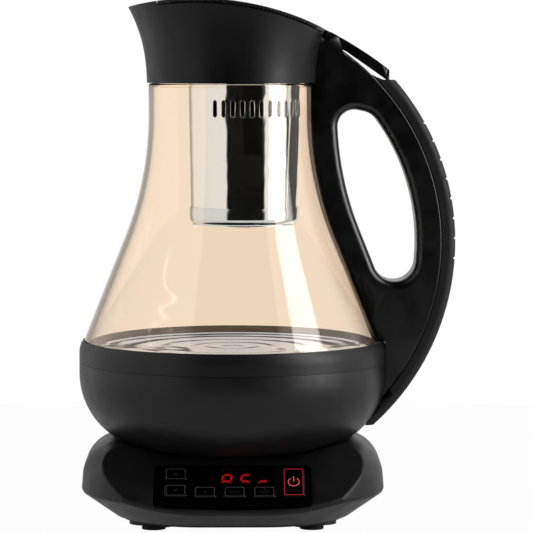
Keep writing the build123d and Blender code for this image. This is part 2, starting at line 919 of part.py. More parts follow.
with BuildPart() as bowl:
    revolve(bowl_profile(0, seat_z, bowl_top_z), axis=Axis.Z)
    chamfer(bowl.edges().group_by(Axis.Z)[-1], bowl_seam)
    revolve(
        bowl_profile(-bowl_wall, bowl_floor_z, bowl_top_z + overrun), axis=Axis.Z, mode=Mode.SUBTRACT
    )
    disc(bowl_hole, seat_z - overrun, seat_z + overrun, Mode.SUBTRACT)
    with BuildSketch(Plane.XY.offset(bowl_floor_z)):
        with PolarLocations(connector_screw_ring, 3):
            Circle(handle_screw_radius + pin_gap)
    extrude(amount=connector_flange_thick - connector_screw_long, mode=Mode.SUBTRACT)
    with Locations(*[(bowl_side_r, sy * lower_screw_y, lower_screw_z) for sy in (-1, 1)]):
        Cylinder(handle_screw_radius + fit_gap, 3 * overrun, rotation=(0, 90, 0), mode=Mode.SUBTRACT)
save(bowl, "bowl")

# Socket under the jug that plugs onto the post
flange_top_z = bowl_floor_z + connector_flange_thick
with BuildPart() as jug_connector:
    disc(connector_radius, bowl_floor_z, connector_top_z)
    disc(connector_flange_radius, bowl_floor_z, flange_top_z)
    disc(socket_radius, bowl_floor_z, socket_top_z, Mode.SUBTRACT)
    with BuildSketch(Plane.XY.offset(bowl_floor_z)):
        with PolarLocations(connector_screw_ring, 3):
            Circle(handle_screw_radius + fit_gap)
    extrude(amount=overrun, mode=Mode.SUBTRACT)
save(jug_connector, "jug_connector")

with BuildPart() as jug_contacts:
    with BuildSketch(Plane.XY.offset(socket_top_z)):
        Circle(contact_radius + contact_thick / 2)
        Circle(contact_radius - contact_thick / 2, mode=Mode.SUBTRACT)
        Circle(contact_pin_radius)
    extrude(amount=-jug_contact_long)
save(jug_contacts, "jug_contacts")

with BuildPart(Plane.XY.offset(flange_top_z)) as connector_screws:
    with PolarLocations(connector_screw_ring, 3):
        with Locations(Rotation(180, 0, 0)):
            screw(
                handle_screw_head_radius,
                handle_screw_head_high,
                handle_screw_radius,
                connector_screw_long,
            )
save(connector_screws, "connector_screws")

# Clamp ring round the glass's foot, with a shelf under the heater plate
shelf_z = bowl_top_z + ring_shelf_thick
with BuildPart() as clamp_ring:
    with BuildSketch(Plane.XZ):
        with BuildLine():
            Polyline(
                (ring_shelf, shelf_z),
                (ring_shelf, bowl_top_z),
                (bowl_side_r, bowl_top_z),
                (bowl_side_r, ring_bend_z),
            )
            TangentArc((bowl_side_r, ring_bend_z), (ring_top_r, ring_top_z), tangent=(0, 1))
            Polyline(
                (ring_top_r, ring_top_z),
                (ring_wall_inside, ring_top_z),
                (ring_wall_inside, shelf_z),
                (ring_shelf, shelf_z),
            )
        make_face()
    revolve(axis=Axis.Z)
save(clamp_ring, "clamp_ring")

# Heater plate: a raised steel disc with a flange on the ring's shelf
flange_z = shelf_z + plate_sheet
with BuildPart() as heater_plate:
    disc(plate_radius, shelf_z, plate_top_z)
    fillet(heater_plate.edges().group_by(Axis.Z)[-1], plate_round)
    disc(plate_flange, shelf_z, flange_z)
    disc(plate_radius - plate_sheet, shelf_z - overrun, plate_top_z - plate_sheet, Mode.SUBTRACT)
save(heater_plate, "heater_plate")

with BuildPart() as heater_seal:
    tube(plate_flange, plate_radius + fit_gap, flange_z, flange_z + seal_thick)
    disc(glass_foot_inside - fit_gap, flange_z, flange_z + seal_lip_high)
    disc(plate_radius + fit_gap, flange_z, flange_z + overrun, Mode.SUBTRACT)
save(heater_seal, "heater_seal")

spreader_z = plate_top_z - plate_sheet - spreader_thick
with BuildPart() as heat_spreader:
    disc(spreader_radius, spreader_z, spreader_z + spreader_thick)
save(heat_spreader, "heat_spreader")

# Heating element: an open loop of tube with two tails
element_z = spreader_z - element_tube - pin_gap
element_start = (360 - element_arc) / 2
with BuildPart() as heating_element:
    with BuildLine(Plane.XY.offset(element_z)) as loop:
        CenterArc((0, 0), element_ring, element_start, element_arc)
    with BuildSketch(Plane(loop.line @ 0, z_dir=loop.line % 0)):
        Circle(element_tube)
    sweep()
    for end in (0, 1):
        with Locations(loop.line @ end):
            Cylinder(element_tube, element_tail, align=(Align.CENTER, Align.CENTER, Align.MAX))
            Sphere(element_tube)
save(heating_element, "heating_element")

with BuildPart(Plane.XY.offset(spreader_z)) as thermal_cutouts:
    with Locations((sensor_ring, 0), (-sensor_ring, 0)):
        Cylinder(cutout_radius, cutout_high, align=(Align.CENTER, Align.CENTER, Align.MAX))
save(thermal_cutouts, "thermal_cutouts")

with BuildPart(Plane.XY.offset(spreader_z)) as temperature_probe:
    with Locations((0, sensor_ring)):
        Cylinder(probe_radius, probe_high, align=(Align.CENTER, Align.CENTER, Align.MAX))
save(temperature_probe, "temperature_probe")

# Glass jug
finish_low_z = glass_shoulder_z - finish_step
with BuildPart() as glass_jug:
    revolve(glass_profile(0, glass_low_z, glass_shoulder_z), axis=Axis.Z)
    disc(finish_r, finish_low_z, finish_top_z)
    revolve(
        glass_profile(glass_wall, glass_low_z, finish_low_z), axis=Axis.Z, mode=Mode.SUBTRACT
    )
    disc(finish_inside, finish_low_z, finish_top_z, Mode.SUBTRACT)
save(glass_jug, "glass_jug")

# Collar with the spout's beak, a ledge inside and a seat for the lid
ledge_z = ledge_low_z + ledge_thick
with BuildPart() as collar:
    collar_form(0, collar_low_z)
    top_cylinder(top_arc_r, Mode.INTERSECT)
    collar_form(collar_wall, ledge_z, Mode.SUBTRACT)
    disc(collar_bore, collar_low_z, ledge_low_z, Mode.SUBTRACT)
    disc(ledge_inside, collar_low_z, ledge_z, Mode.SUBTRACT)
    with BuildSketch(Plane.XZ):
        with Locations((lid_front_x - lid_gap, collar_low_z)):
            Rectangle(reach, reach, align=(Align.MIN, Align.MIN))
        with Locations((top_arc_x, top_arc_z)):
            Circle(top_arc_r - lid_thick - lid_gap, mode=Mode.SUBTRACT)
    extrude(amount=reach, both=True, mode=Mode.SUBTRACT)
    with BuildSketch(Plane.XY.offset(notch_low_z)):
        with Locations((collar_bore, 0)):
            Rectangle(reach, 2 * notch_half, align=(Align.MIN, Align.CENTER))
    extrude(amount=reach, mode=Mode.SUBTRACT)
    with Locations(*[(collar_r, sy * upper_screw_y, upper_screw_z) for sy in (-1, 1)]):
        Cylinder(handle_screw_radius + fit_gap, 3 * overrun, rotation=(0, 90, 0), mode=Mode.SUBTRACT)
save(collar, "collar")

with BuildPart() as collar_seal:
    tube(finish_r - fit_gap, finish_inside + fit_gap, finish_top_z, ledge_low_z)
save(collar_seal, "collar_seal")

# Cradle for the infuser, hung in the neck, with pouring slots on the spout's side
cradle_top_z = ledge_z + infuser_flange_thick + fit_gap
plate_z = cradle_plate_low_z + cradle_plate_thick
with BuildPart() as infuser_cradle:
    disc(cradle_flange, ledge_z, cradle_top_z)
    disc(cradle_out_r, cradle_plate_low_z, cradle_top_z)
    disc(cradle_out_r - cradle_wall, plate_z, cradle_top_z, Mode.SUBTRACT)
    with Locations((infuser_x, 0, cradle_plate_low_z)):
        Cylinder(cradle_hole, 2 * overrun, mode=Mode.SUBTRACT)
    with BuildSketch(Plane.XY.offset(cradle_plate_low_z)):
        pour_span = (pour_count - 1) * pour_pitch
        with PolarLocations(pour_ring, pour_count, 180 - pour_span / 2, pour_span, endpoint=True):
            SlotOverall(pour_long, pour_wide)
    extrude(amount=cradle_plate_thick, mode=Mode.SUBTRACT)
save(infuser_cradle, "infuser_cradle")

# Infuser: a steel tube with a row of slots, hung by its flange
infuser_axis = Axis((infuser_x, 0, 0), (0, 0, 1))
with BuildPart() as infuser_body:
    with BuildSketch(Plane.XZ):
        with BuildLine():
            Polyline(
                (infuser_x + infuser_low_r, infuser_low_z),
                (infuser_x + infuser_top_r, infuser_top_z - infuser_flange_thick),
                (infuser_x + infuser_flange, infuser_top_z - infuser_flange_thick),
                (infuser_x + infuser_flange, infuser_top_z),
                (infuser_x + infuser_top_r - infuser_wall, infuser_top_z),
                (infuser_x + infuser_low_r - infuser_wall, infuser_low_z),
                close=True,
            )
        make_face()
    revolve(axis=infuser_axis)
    slot_mid_z = (slot_low_z + slot_high_z) / 2
    for k in range(slot_count):
        turn = radians(slot_first + k * slot_pitch)
        face_out = Plane(
            origin=(infuser_x, 0, slot_mid_z), x_dir=(0, 0, 1), z_dir=(cos(turn), sin(turn), 0)
        )
        with BuildSketch(face_out):
            SlotOverall(slot_high_z - slot_low_z, slot_wide)
    extrude(amount=infuser_flange, mode=Mode.SUBTRACT)
save(infuser_body, "infuser_body")

with BuildPart() as infuser_base:
    with Locations((infuser_x, 0, cap_low_z)):
        Cylinder(cap_r, infuser_low_z - cap_low_z, align=low_align)
    fillet(infuser_base.edges().group_by(Axis.Z)[0], cap_round)
    with Locations((infuser_x, 0, cap_low_z)):
        Cylinder(
            infuser_low_r - infuser_wall - fit_gap,
            infuser_low_z - cap_low_z + cap_lip_high,
            align=low_align,
        )
    with Locations((infuser_x, 0, cap_low_z + cap_wall)):
        Cylinder(
            infuser_low_r - infuser_wall - fit_gap - cap_wall,
            reach,
            align=low_align,
            mode=Mode.SUBTRACT,
        )
    with Locations((infuser_x, 0, cap_low_z)):
        Cylinder(cap_mouth_r, reach, mode=Mode.SUBTRACT)
save(infuser_base, "infuser_base")

# Perforated dome that lies on the cap's floor and bulges through its mouth
dome_r = cap_mouth_r - run_gap
dome_seat_z = cap_low_z + cap_wall
dome_low_z = dome_seat_z - mesh_drop
with BuildPart() as infuser_mesh:
    with BuildSketch(Plane.XZ):
        with BuildLine():
            TangentArc(
                (infuser_x, dome_low_z), (infuser_x + dome_r, dome_seat_z), tangent=(1, 0)
            )
            Polyline(
                (infuser_x + dome_r, dome_seat_z),
                (infuser_x + mesh_r, dome_seat_z),
                (infuser_x + mesh_r, dome_seat_z + mesh_wall),
                (infuser_x + dome_r, dome_seat_z + mesh_wall),
            )
            TangentArc(
                (infuser_x, dome_low_z + mesh_wall),
                (infuser_x + dome_r, dome_seat_z + mesh_wall),
                tangent=(1, 0),
            )
            Line((infuser_x, dome_low_z + mesh_wall), (infuser_x, dome_low_z))
        make_face()
    revolve(axis=infuser_axis)
    with BuildSketch(Plane.XY.offset(dome_low_z - overrun)):
        with Locations((infuser_x, 0)):
            Circle(mesh_hole)
            for k in range(1, mesh_rings + 1):
                with PolarLocations(k * mesh_ring_step, k * mesh_ring_holes):
                    Circle(mesh_hole)
    extrude(amount=2 * overrun, mode=Mode.SUBTRACT)
save(infuser_mesh, "infuser_mesh")

with BuildPart() as infuser_rim:
    with Locations((infuser_x, 0, rim_low_z)):
        Cylinder(infuser_flange, rim_high, align=low_align)
        Cylinder(rim_inside, rim_high, align=low_align, mode=Mode.SUBTRACT)
    with Locations((infuser_x, 0, rim_low_z + rim_high)):
        Box(
            rim_notch,
            reach,
            rim_high,
            align=(Align.CENTER, Align.CENTER, Align.CENTER),
            mode=Mode.SUBTRACT,
        )
save(infuser_rim, "infuser_rim")

# Lid: a plate on the collar's rim, a hollow plug in its mouth and a knuckle on the pin
front_cut = (Align.MAX, Align.CENTER, Align.CENTER)
with BuildPart() as lid_hollow:
    disc(lid_plug_r - lid_plug_wall, lid_plug_low_z, lid_plug_low_z + reach)
    top_cylinder(top_arc_r - lid_thick, Mode.INTERSECT)
    with Locations((lid_plug_front_x + lid_plug_wall, 0, lid_plug_low_z)):
        Box(reach, reach, reach, align=front_cut, mode=Mode.SUBTRACT)

with BuildPart() as lid_plug:
    disc(lid_plug_r, lid_plug_low_z, lid_plug_low_z + reach)
    top_cylinder(top_arc_r - lid_thick / 2, Mode.INTERSECT)
    add(lid_hollow.part, mode=Mode.SUBTRACT)
    with Locations((lid_plug_front_x, 0, lid_plug_low_z)):
        Box(reach, reach, reach, align=front_cut, mode=Mode.SUBTRACT)
    with BuildSketch(Plane.XY.offset(lid_seal_low_z - fit_gap)):
        Circle(lid_plug_r + overrun)
        Circle(lid_plug_r - lid_seal_groove, mode=Mode.SUBTRACT)
    extrude(amount=lid_seal_high + 2 * fit_gap, mode=Mode.SUBTRACT)

with BuildPart() as lid_top:
    collar_form(lid_inset, notch_low_z)
    top_cylinder(top_arc_r, Mode.INTERSECT)
    top_cylinder(top_arc_r - lid_thick, Mode.SUBTRACT)
    with Locations((lid_front_x, 0, lid_plug_low_z)):
        Box(reach, reach, reach, align=front_cut, mode=Mode.SUBTRACT)
    add(lid_plug.part)
    with BuildSketch(Plane.XZ):
        with Locations((pin_x, pin_z)):
            Circle(knuckle_radius)
        with BuildLine():
            Polyline(
                (pin_x, pin_z + knuckle_radius),
                (pin_x, pin_z - knuckle_radius),
                (lid_arm_x, lid_arm_low_z),
                (lid_arm_x, lid_arm_low_z + 2 * knuckle_radius),
                close=True,
            )
        make_face()
        with Locations((top_arc_x, top_arc_z)):
            Circle(top_arc_r, mode=Mode.INTERSECT)
    extrude(amount=lid_knuckle_half, both=True)
    with Locations((pin_x, 0, pin_z)):
        Cylinder(pin_radius + pin_gap, reach, rotation=(90, 0, 0), mode=Mode.SUBTRACT)
save(lid_top, "lid_top")

with BuildPart() as lid_seal:
    tube(lid_seal_r, lid_plug_r - lid_seal_groove + fit_gap, lid_seal_low_z, lid_seal_low_z + lid_seal_high)
    with Locations((lid_plug_front_x, 0, lid_seal_low_z)):
        Box(reach, reach, reach, align=front_cut, mode=Mode.SUBTRACT)
save(lid_seal, "lid_seal")

with BuildPart() as lid_liner:
    disc(liner_r, liner_z, liner_z + liner_thick)
    with Locations((lid_plug_front_x + lid_plug_wall + run_gap, 0, liner_z)):
        Box(reach, reach, reach, align=front_cut, mode=Mode.SUBTRACT)
save(lid_liner, "lid_liner")

# Hinge pin through the handle's ears, the lever's prongs and the lid's knuckle
with BuildPart() as lid_pin:
    with Locations((pin_x, 0, pin_z)):
        Cylinder(pin_radius, 2 * pin_half, rotation=(90, 0, 0))
save(lid_pin, "lid_pin")

with BuildPart() as lever_spring:
    with BuildLine() as coil:
        Helix(coil_pitch, coil_long, coil_radius, center=(pin_x, coil_y, pin_z), direction=(0, 1, 0))
    with BuildSketch(Plane(coil.line @ 0, z_dir=coil.line % 0)):
        Circle(coil_wire)
    sweep(is_frenet=True)
save(lever_spring, "lever_spring")

# Thumb lever
with BuildPart() as lid_lever:
    with BuildSketch(Plane.XZ):
        with BuildLine():
            Polyline(
                (pin_x, pin_z - knuckle_radius),
                (lever_bend_x, lever_bend_z),
                (lever_tip_x, lever_tip_low_z),
                (lever_tip_x, pin_z + overrun),
                (pin_x, pin_z + overrun),
                close=True,
            )
        make_face()
        with Locations((pin_x, pin_z)):
            Circle(knuckle_radius)
        with Locations((lever_arc_x, lever_arc_z)):
            Circle(lever_arc_r, mode=Mode.INTERSECT)
    extrude(amount=lever_half, both=True)
    tip_edges = lid_lever.edges().filter_by(Axis.Y).group_by(Axis.X)[-1]
    fillet(tip_edges, lever_soft)
    with BuildSketch(Plane.XY.offset(channel_low_z)):
        with Locations((lever_slot_end_x, 0)):
            Rectangle(reach, 2 * prong_inside, align=(Align.MAX, Align.CENTER))
    extrude(amount=reach, mode=Mode.SUBTRACT)
    with Locations((pin_x, 0, pin_z)):
        Cylinder(pin_radius + pin_gap, reach, rotation=(90, 0, 0), mode=Mode.SUBTRACT)
save(lid_lever, "lid_lever")

# What the handle has to keep clear of: glass, collar, ring and bowl
with BuildPart() as jug_envelope:
    revolve(glass_profile(-handle_gap, glass_low_z, collar_low_z), axis=Axis.Z)
    revolve(bowl_profile(handle_gap, seat_z, ring_top_z), axis=Axis.Z)
    collar_form(-handle_gap, collar_low_z)


def along(start, heading, radius):
    """Find where a line from inside meets a circle round the handle's centre."""
    from_x = start[0] - handle_x
    from_z = start[1] - handle_z
    turn = radians(heading)
    part_way = from_x * cos(turn) + from_z * sin(turn)
    step = sqrt(part_way**2 + radius**2 - from_x**2 - from_z**2) - part_way
    return (start[0] + step * cos(turn), start[1] + step * sin(turn))


def bearing(point):
    """Angle of a point seen from the handle's centre."""
    return degrees(atan2(point[1] - handle_z, point[0] - handle_x))


# Finger hole: parallel to the glass inside, round about the handle's centre outside
limb_x = glass_neck_r + glass_flare_radius
limb_r = glass_flare_radius - limb
limb_start = 180 - degrees(asin((hole_top_z - glass_flare_z) / limb_r))
limb_top = (limb_x + limb_r * cos(radians(limb_start)), hole_top_z)
limb_low = (limb_x - limb_r * cos(glass_turn), glass_flare_z - limb_r * sin(glass_turn))
hole_right = along(limb_top, -hole_top_slope, hole_r)
hole_low = along(limb_low, glass_slope - 90, hole_r)
with BuildSketch(Plane.XZ) as finger_hole:
    with BuildLine():
        CenterArc((limb_x, glass_flare_z), limb_r, limb_start, 180 + glass_slope - limb_start)
        Line(limb_low, hole_low)
        CenterArc((handle_x, handle_z), hole_r, bearing(hole_low), bearing(hole_right) - bearing(hole_low))
        Line(hole_right, limb_top)
    make_face()
    for corner, rounding in (
        (hole_low, hole_round_low),
        (limb_top, hole_round_left),
        (hole_right, hole_round_right),
    ):
        fillet(finger_hole.vertices().sort_by_distance((corner[0], corner[1], 0))[0], rounding)

# Handle: a D-shaped body with a channel for the lever and ears for the pin
with BuildSketch(Plane.XZ) as handle_side:
    with Locations((handle_x, handle_z)):
        Circle(handle_seam_r)
    with Locations((handle_left_x, handle_low_z)):
        Rectangle(reach, reach, align=(Align.MIN, Align.MIN), mode=Mode.INTERSECT)
    with BuildLine():
        Polyline(
            (handle_left_x, cheek_left_z),
            (cheek_right_x, cheek_right_z),
            (cheek_right_x + overrun, cheek_left_z + overrun),
            (handle_left_x, cheek_left_z + 2 * overrun),
            close=True,
        )
    make_face(mode=Mode.SUBTRACT)
    add(finger_hole.sketch_local, mode=Mode.SUBTRACT)
with BuildPart() as handle_body:
    extrude(handle_side.sketch, amount=handle_half, both=True)
    for side_face in (handle_body.faces().sort_by(Axis.Y)[0], handle_body.faces().sort_by(Axis.Y)[-1]):
        fillet(side_face.inner_wires()[0].edges(), hole_edge)
    seam_edges = handle_body.edges().filter_by(
        lambda e: e.geom_type == GeomType.CIRCLE and abs(e.radius - handle_seam_r) < same_within
    )
    chamfer(seam_edges, seam_edge)
    add(jug_envelope.part, mode=Mode.SUBTRACT)
    with BuildSketch(Plane.XZ) as ear_side:
        with Locations((pin_x, pin_z)):
            Circle(ear_radius)
        with BuildLine():
            Polyline(
                (pin_x - ear_radius, pin_z),
                (pin_x - ear_radius, channel_low_z),
                (ear_foot_x, channel_low_z),
                (ear_foot_x, ear_foot_z),
                (pin_x + ear_radius, pin_z),
                close=True,
            )
        make_face()
        with Locations((top_arc_x, top_arc_z)):
            Circle(top_arc_r, mode=Mode.INTERSECT)
    extrude(amount=handle_half, both=True)
    with BuildSketch(Plane.XZ):
        with BuildLine():
            Polyline(
                (handle_left_x, pin_z + 2 * overrun),
                (handle_left_x, channel_low_z),
                (channel_bend_x, channel_low_z),
                (channel_end_x, channel_end_z),
                (channel_end_x, pin_z + 2 * overrun),
                close=True,
            )
        make_face()
    extrude(amount=channel_half, both=True, mode=Mode.SUBTRACT)
    # the pin goes in from the back, so its hole stops short of the front
    with Locations((pin_x, -pin_half - fit_gap, pin_z)):
        Cylinder(
            pin_radius + pin_gap, reach, rotation=(-90, 0, 0), align=low_align, mode=Mode.SUBTRACT
        )
    for place_x, place_y, place_z, length in handle_screw_places:
        with Locations(*[(place_x, sy * place_y, place_z) for sy in (-1, 1)]):
            Cylinder(
                handle_screw_radius + pin_gap,
                2 * (length + fit_gap),
                rotation=(0, 90, 0),
                mode=Mode.SUBTRACT,
            )
save(handle_body, "handle_body")

# Screws from inside the collar and the bowl into the handle
with BuildPart() as handle_screws:
    for place_x, place_y, place_z, length in handle_screw_places:
        with Locations(*[Location((place_x, sy * place_y, place_z), (0, 90, 0)) for sy in (-1, 1)]):
            screw(handle_screw_head_radius, handle_screw_head_high, handle_screw_radius, length)
save(handle_screws, "handle_screws")

# Soft grip along the outside, with a scooped end under the lever and shallow grooves
scoop_start_z = handle_z + sqrt(handle_seam_r**2 - (grip_tail_x - handle_x) ** 2)
with BuildSketch(Plane.XZ) as grip_side:
    with Locations((handle_x, handle_z)):
        Circle(grip_r)
        Circle(handle_seam_r + fit_gap, mode=Mode.SUBTRACT)
    with Locations((grip_tail_x, handle_low_z)):
        Rectangle(reach, reach, align=(Align.MIN, Align.MIN), mode=Mode.INTERSECT)
    with BuildLine():
        ThreePointArc(
            (grip_tail_x, scoop_start_z), (scoop_mid_x, scoop_mid_z), (scoop_end_x, grip_top_z)
        )
        Polyline(
            (scoop_end_x, grip_top_z),
            (grip_r, grip_top_z),
            (grip_r, pin_z),
            (grip_tail_x, pin_z),
            (grip_tail_x, scoop_start_z),
        )
    make_face(mode=Mode.SUBTRACT)
with BuildPart() as handle_grip:
    extrude(grip_side.sketch, amount=handle_half, both=True)
    outer_edges = handle_grip.edges().filter_by(
        lambda e: e.geom_type == GeomType.CIRCLE and abs(e.radius - grip_r) < same_within
    )
    fillet(outer_edges, grip_edge)
    add(jug_envelope.part, mode=Mode.SUBTRACT)
    with BuildSketch(Plane.XZ):
        with Locations((channel_end_x, grip_top_z + overrun)):
            Rectangle(
                reach, grip_top_z + overrun - channel_end_z, align=(Align.MAX, Align.MAX)
            )
    extrude(amount=channel_half, both=True, mode=Mode.SUBTRACT)
    for k in range(groove_count):
        turn = radians(groove_first + k * groove_pitch)
        with Locations(
            (handle_x + grip_r * cos(turn), 0, handle_z + grip_r * sin(turn))
        ):
            Cylinder(groove_deep, reach, rotation=(90, 0, 0), mode=Mode.SUBTRACT)
save(handle_grip, "handle_grip")
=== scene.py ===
"""Looks of an electric tea maker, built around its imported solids.

Metres, +Z up. The handle points to +X, the spout to -X and the control panel to -Y.
"""

from __future__ import annotations

import json
import logging
import math
from abc import ABC, abstractmethod
from dataclasses import asdict, dataclass, field
from enum import Enum

import bmesh
import bpy
from mathutils import Euler, Matrix, Vector

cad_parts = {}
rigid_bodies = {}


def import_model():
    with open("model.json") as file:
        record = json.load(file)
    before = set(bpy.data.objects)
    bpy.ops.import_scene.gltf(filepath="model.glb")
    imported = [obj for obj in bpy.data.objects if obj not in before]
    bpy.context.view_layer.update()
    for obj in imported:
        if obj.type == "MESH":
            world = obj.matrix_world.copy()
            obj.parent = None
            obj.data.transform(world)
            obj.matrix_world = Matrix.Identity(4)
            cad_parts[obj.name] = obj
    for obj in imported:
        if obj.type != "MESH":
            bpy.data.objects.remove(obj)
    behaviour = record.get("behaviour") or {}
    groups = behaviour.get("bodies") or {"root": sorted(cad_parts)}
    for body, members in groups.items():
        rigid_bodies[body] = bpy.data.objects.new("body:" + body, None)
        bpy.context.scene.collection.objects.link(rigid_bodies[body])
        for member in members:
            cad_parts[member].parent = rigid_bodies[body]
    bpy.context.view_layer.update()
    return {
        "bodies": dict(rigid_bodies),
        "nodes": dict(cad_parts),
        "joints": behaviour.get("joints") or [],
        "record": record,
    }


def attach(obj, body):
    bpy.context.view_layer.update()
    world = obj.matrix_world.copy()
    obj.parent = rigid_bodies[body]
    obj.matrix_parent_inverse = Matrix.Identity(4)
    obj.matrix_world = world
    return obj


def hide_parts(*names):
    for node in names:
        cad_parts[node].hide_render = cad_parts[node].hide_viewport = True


LOG = logging.getLogger("tea_maker")

Pair = tuple[float, float]
Triple = tuple[float, float, float]
Colour = Triple
Profile = list[Pair]
Values = dict[str, object]
Shape = bmesh.types.BMesh
Piece = bpy.types.Object
Material = bpy.types.Material
Socket = bpy.types.NodeSocket
Sockets = bpy.types.bpy_prop_collection

MM = 0.001
WHITE: Colour = (1.0, 1.0, 1.0)
EVEN: Triple = (1.0, 1.0, 1.0)
NOISE_LOW = 0.3
NOISE_HIGH = 0.7
COPY_MERGE = 0.001 * MM
TURNED_MERGE = 0.0001 * MM
COPY_SHARP = 32.0
INFUSER_AXIS_X = 6.4 * MM
INFUSER_LOW_Z = 171.0 * MM
INFUSER_LOW_RADIUS = 29.0 * MM
INFUSER_RISE = 74.5 * MM
INFUSER_FLARE = 1.3 * MM
RING_BORDER_RADIUS = 81.8 * MM


class Brushing(Enum):
    """Which way a steel surface was brushed."""

    NONE = "none"
    ROUND = "round"
    UPRIGHT = "upright"


class Mark(Enum):
    """The sign on a key, with the key's name."""

    UP = "key_up"
    DOWN = "key_down"
    DOT = "key_mode_1"
    CUP = "key_mode_2"
    STEAMING_CUP = "key_mode_3"
    POWER = "key_power"


class Nodes:
    """A node tree that is filled one node at a time."""

    def __init__(self, tree: bpy.types.NodeTree) -> None:
        """Take a tree and empty it."""
        tree.nodes.clear()
        self.tree = tree

    def link(self, source: Socket, target: Socket) -> None:
        """Link two sockets."""
        self.tree.links.new(source, target)

    def fill(self, socket: Socket, value: object) -> None:
        """Give a socket its value.

        Args:
            socket: The socket.
            value: What it is set to. Another socket is linked.
        """
        if isinstance(value, Socket):
            self.link(value, socket)
        else:
            socket.default_value = value

    def node(self, kind: str, inputs: Values | None = None, **settings: object) -> bpy.types.Node:
        """Add a node.

        Args:
            kind: The node's type.
            inputs: Values for its sockets. A socket as a value is linked.
            settings: Values for its properties.

        Returns:
            The node.
        """
        node = self.tree.nodes.new(kind)
        for name, value in settings.items():
            setattr(node, name, value)
        for name, value in (inputs or {}).items():
            self.fill(next(s for s in node.inputs if s.name == name and s.enabled), value)
        return node

    def add(self, kind: str, inputs: Values | None = None, **settings: object) -> Socket:
        """Add a node and give its first output."""
        return self.node(kind, inputs, **settings).outputs[0]

    def sum(self, operation: str, *values: object) -> Socket:
        """Add a sum.

        Args:
            operation: The kind of sum.
            values: Numbers, or sockets that are linked.

        Returns:
            The result.
        """
        node = self.node("ShaderNodeMath", operation=operation)
        for socket, value in zip(node.inputs, values):
            self.fill(socket, value)
        return node.outputs[0]


class Shader(Nodes):
    """A material and its nodes."""

    def __init__(self, name: str) -> None:
        """Start an empty material with an output node.

        Args:
            name: The material's name.
        """
        self.material = bpy.data.materials.new(name)
        self.material.use_nodes = True
        super().__init__(self.material.node_tree)
        self.output = self.node("ShaderNodeOutputMaterial").inputs

    def surface(self, inputs: Values) -> None:
        """Add the principled shader and link it to the output."""
        self.link(self.add("ShaderNodeBsdfPrincipled", inputs), self.output["Surface"])

    def place(self) -> Socket:
        """Give a point's place on the object's own coordinates."""
        return self.node("ShaderNodeTexCoord").outputs["Object"]

    def axes(self) -> Sockets:
        """Give the X, Y and Z of a point's place."""
        return self.node("ShaderNodeSeparateXYZ", {"Vector": self.place()}).outputs

    def noise(self, size: float, detail: float, stretch: Triple = EVEN) -> Socket:
        """Add a noise on the object's own coordinates.

        Args:
            size: How large a feature is, in metres.
            detail: How many finer layers it has.
            stretch: Scale along each axis.

        Returns:
            The noise's value, from 0 to 1.
        """
        scaled = self.add("ShaderNodeMapping", {"Vector": self.place(), "Scale": stretch})
        return self.add("ShaderNodeTexNoise", {"Vector": scaled, "Scale": 1.0 / size, "Detail": detail})

    def spread(self, value: Socket, middle: float, reach: float, least: float = 0.0) -> Socket:
        """Map a noise's middle range to a range of numbers.

        Args:
            value: The noise.
            middle: The middle of the range.
            reach: How far it goes to each side.
            least: The lowest number that it may start at.

        Returns:
            The mapped number.
        """
        return self.add(
            "ShaderNodeMapRange",
            {
                "Value": value,
                "From Min": NOISE_LOW,
                "From Max": NOISE_HIGH,
                "To Min": max(middle - reach, least),
                "To Max": middle + reach,
            },
        )

    def bump(self, height: Socket, depth: float, under: Socket | None = None) -> Socket:
        """Turn a height into a normal.

        Args:
            height: The height, from 0 to 1.
            depth: Its real depth, in metres.
            under: The normal that it lies on.

        Returns:
            The normal.
        """
        inputs: Values = {"Height": height, "Distance": depth, "Strength": 1.0}
        if under is not None:
            inputs["Normal"] = under
        return self.add("ShaderNodeBump", inputs)

    def shades(self, value: Socket, low: Colour, high: Colour) -> Socket:
        """Blend two colours by a number from 0 to 1.

        Args:
            value: The number.
            low: Colour at 0.
            high: Colour at 1.

        Returns:
            The blended colour.
        """
        inputs: Values = {"Factor": value, "A": opaque(low), "B": opaque(high)}
        mixed = self.node("ShaderNodeMix", inputs, data_type="RGBA")
        return next(s for s in mixed.outputs if s.type == "RGBA")

    def mottled(self, value: Socket, colour: Colour, reach: float) -> Socket:
        """Make a colour darker and lighter by a noise."""
        return self.shades(value, tinted(colour, 1 - reach), tinted(colour, 1 + reach))


def tinted(colour: Colour, share: float) -> Colour:
    """Scale a colour's brightness."""
    return (colour[0] * share, colour[1] * share, colour[2] * share)


def opaque(colour: Colour) -> tuple[float, float, float, float]:
    """Give a colour its fourth number."""
    return (*colour, 1.0)


@dataclass(frozen=True)
class Finish(ABC):
    """A finish with a name, of which a material can be made."""

    name: str

    @abstractmethod
    def paint(self, shader: Shader) -> None:
        """Make the material's nodes."""

    def build(self) -> Material:
        """Make the material.

        Returns:
            The material.
        """
        shader = Shader(self.name)
        self.paint(shader)
        return shader.material


@dataclass(frozen=True)
class Plastic(Finish):
    """Moulded plastic or rubber with a fine grain, slight mottling and an even sheen."""

    colour: Colour
    roughness: float = 0.42
    rough_spread: float = 0.05
    grain: float = 0.45 * MM
    grain_depth: float = 0.012 * MM
    mottle: float = 0.18
    mottle_size: float = 9.0 * MM
    specular: float = 0.5

    def paint(self, shader: Shader) -> None:
        """Make the material's nodes.

        Args:
            shader: The material being made.
        """
        grain = shader.noise(self.grain, detail=1.0)
        mottle = shader.noise(self.mottle_size, detail=3.0)
        shader.surface(
            {
                "Base Color": shader.mottled(mottle, self.colour, self.mottle),
                "Roughness": shader.spread(mottle, self.roughness, self.rough_spread),
                "Specular IOR Level": self.specular,
                "Normal": shader.bump(grain, self.grain_depth),
            }
        )


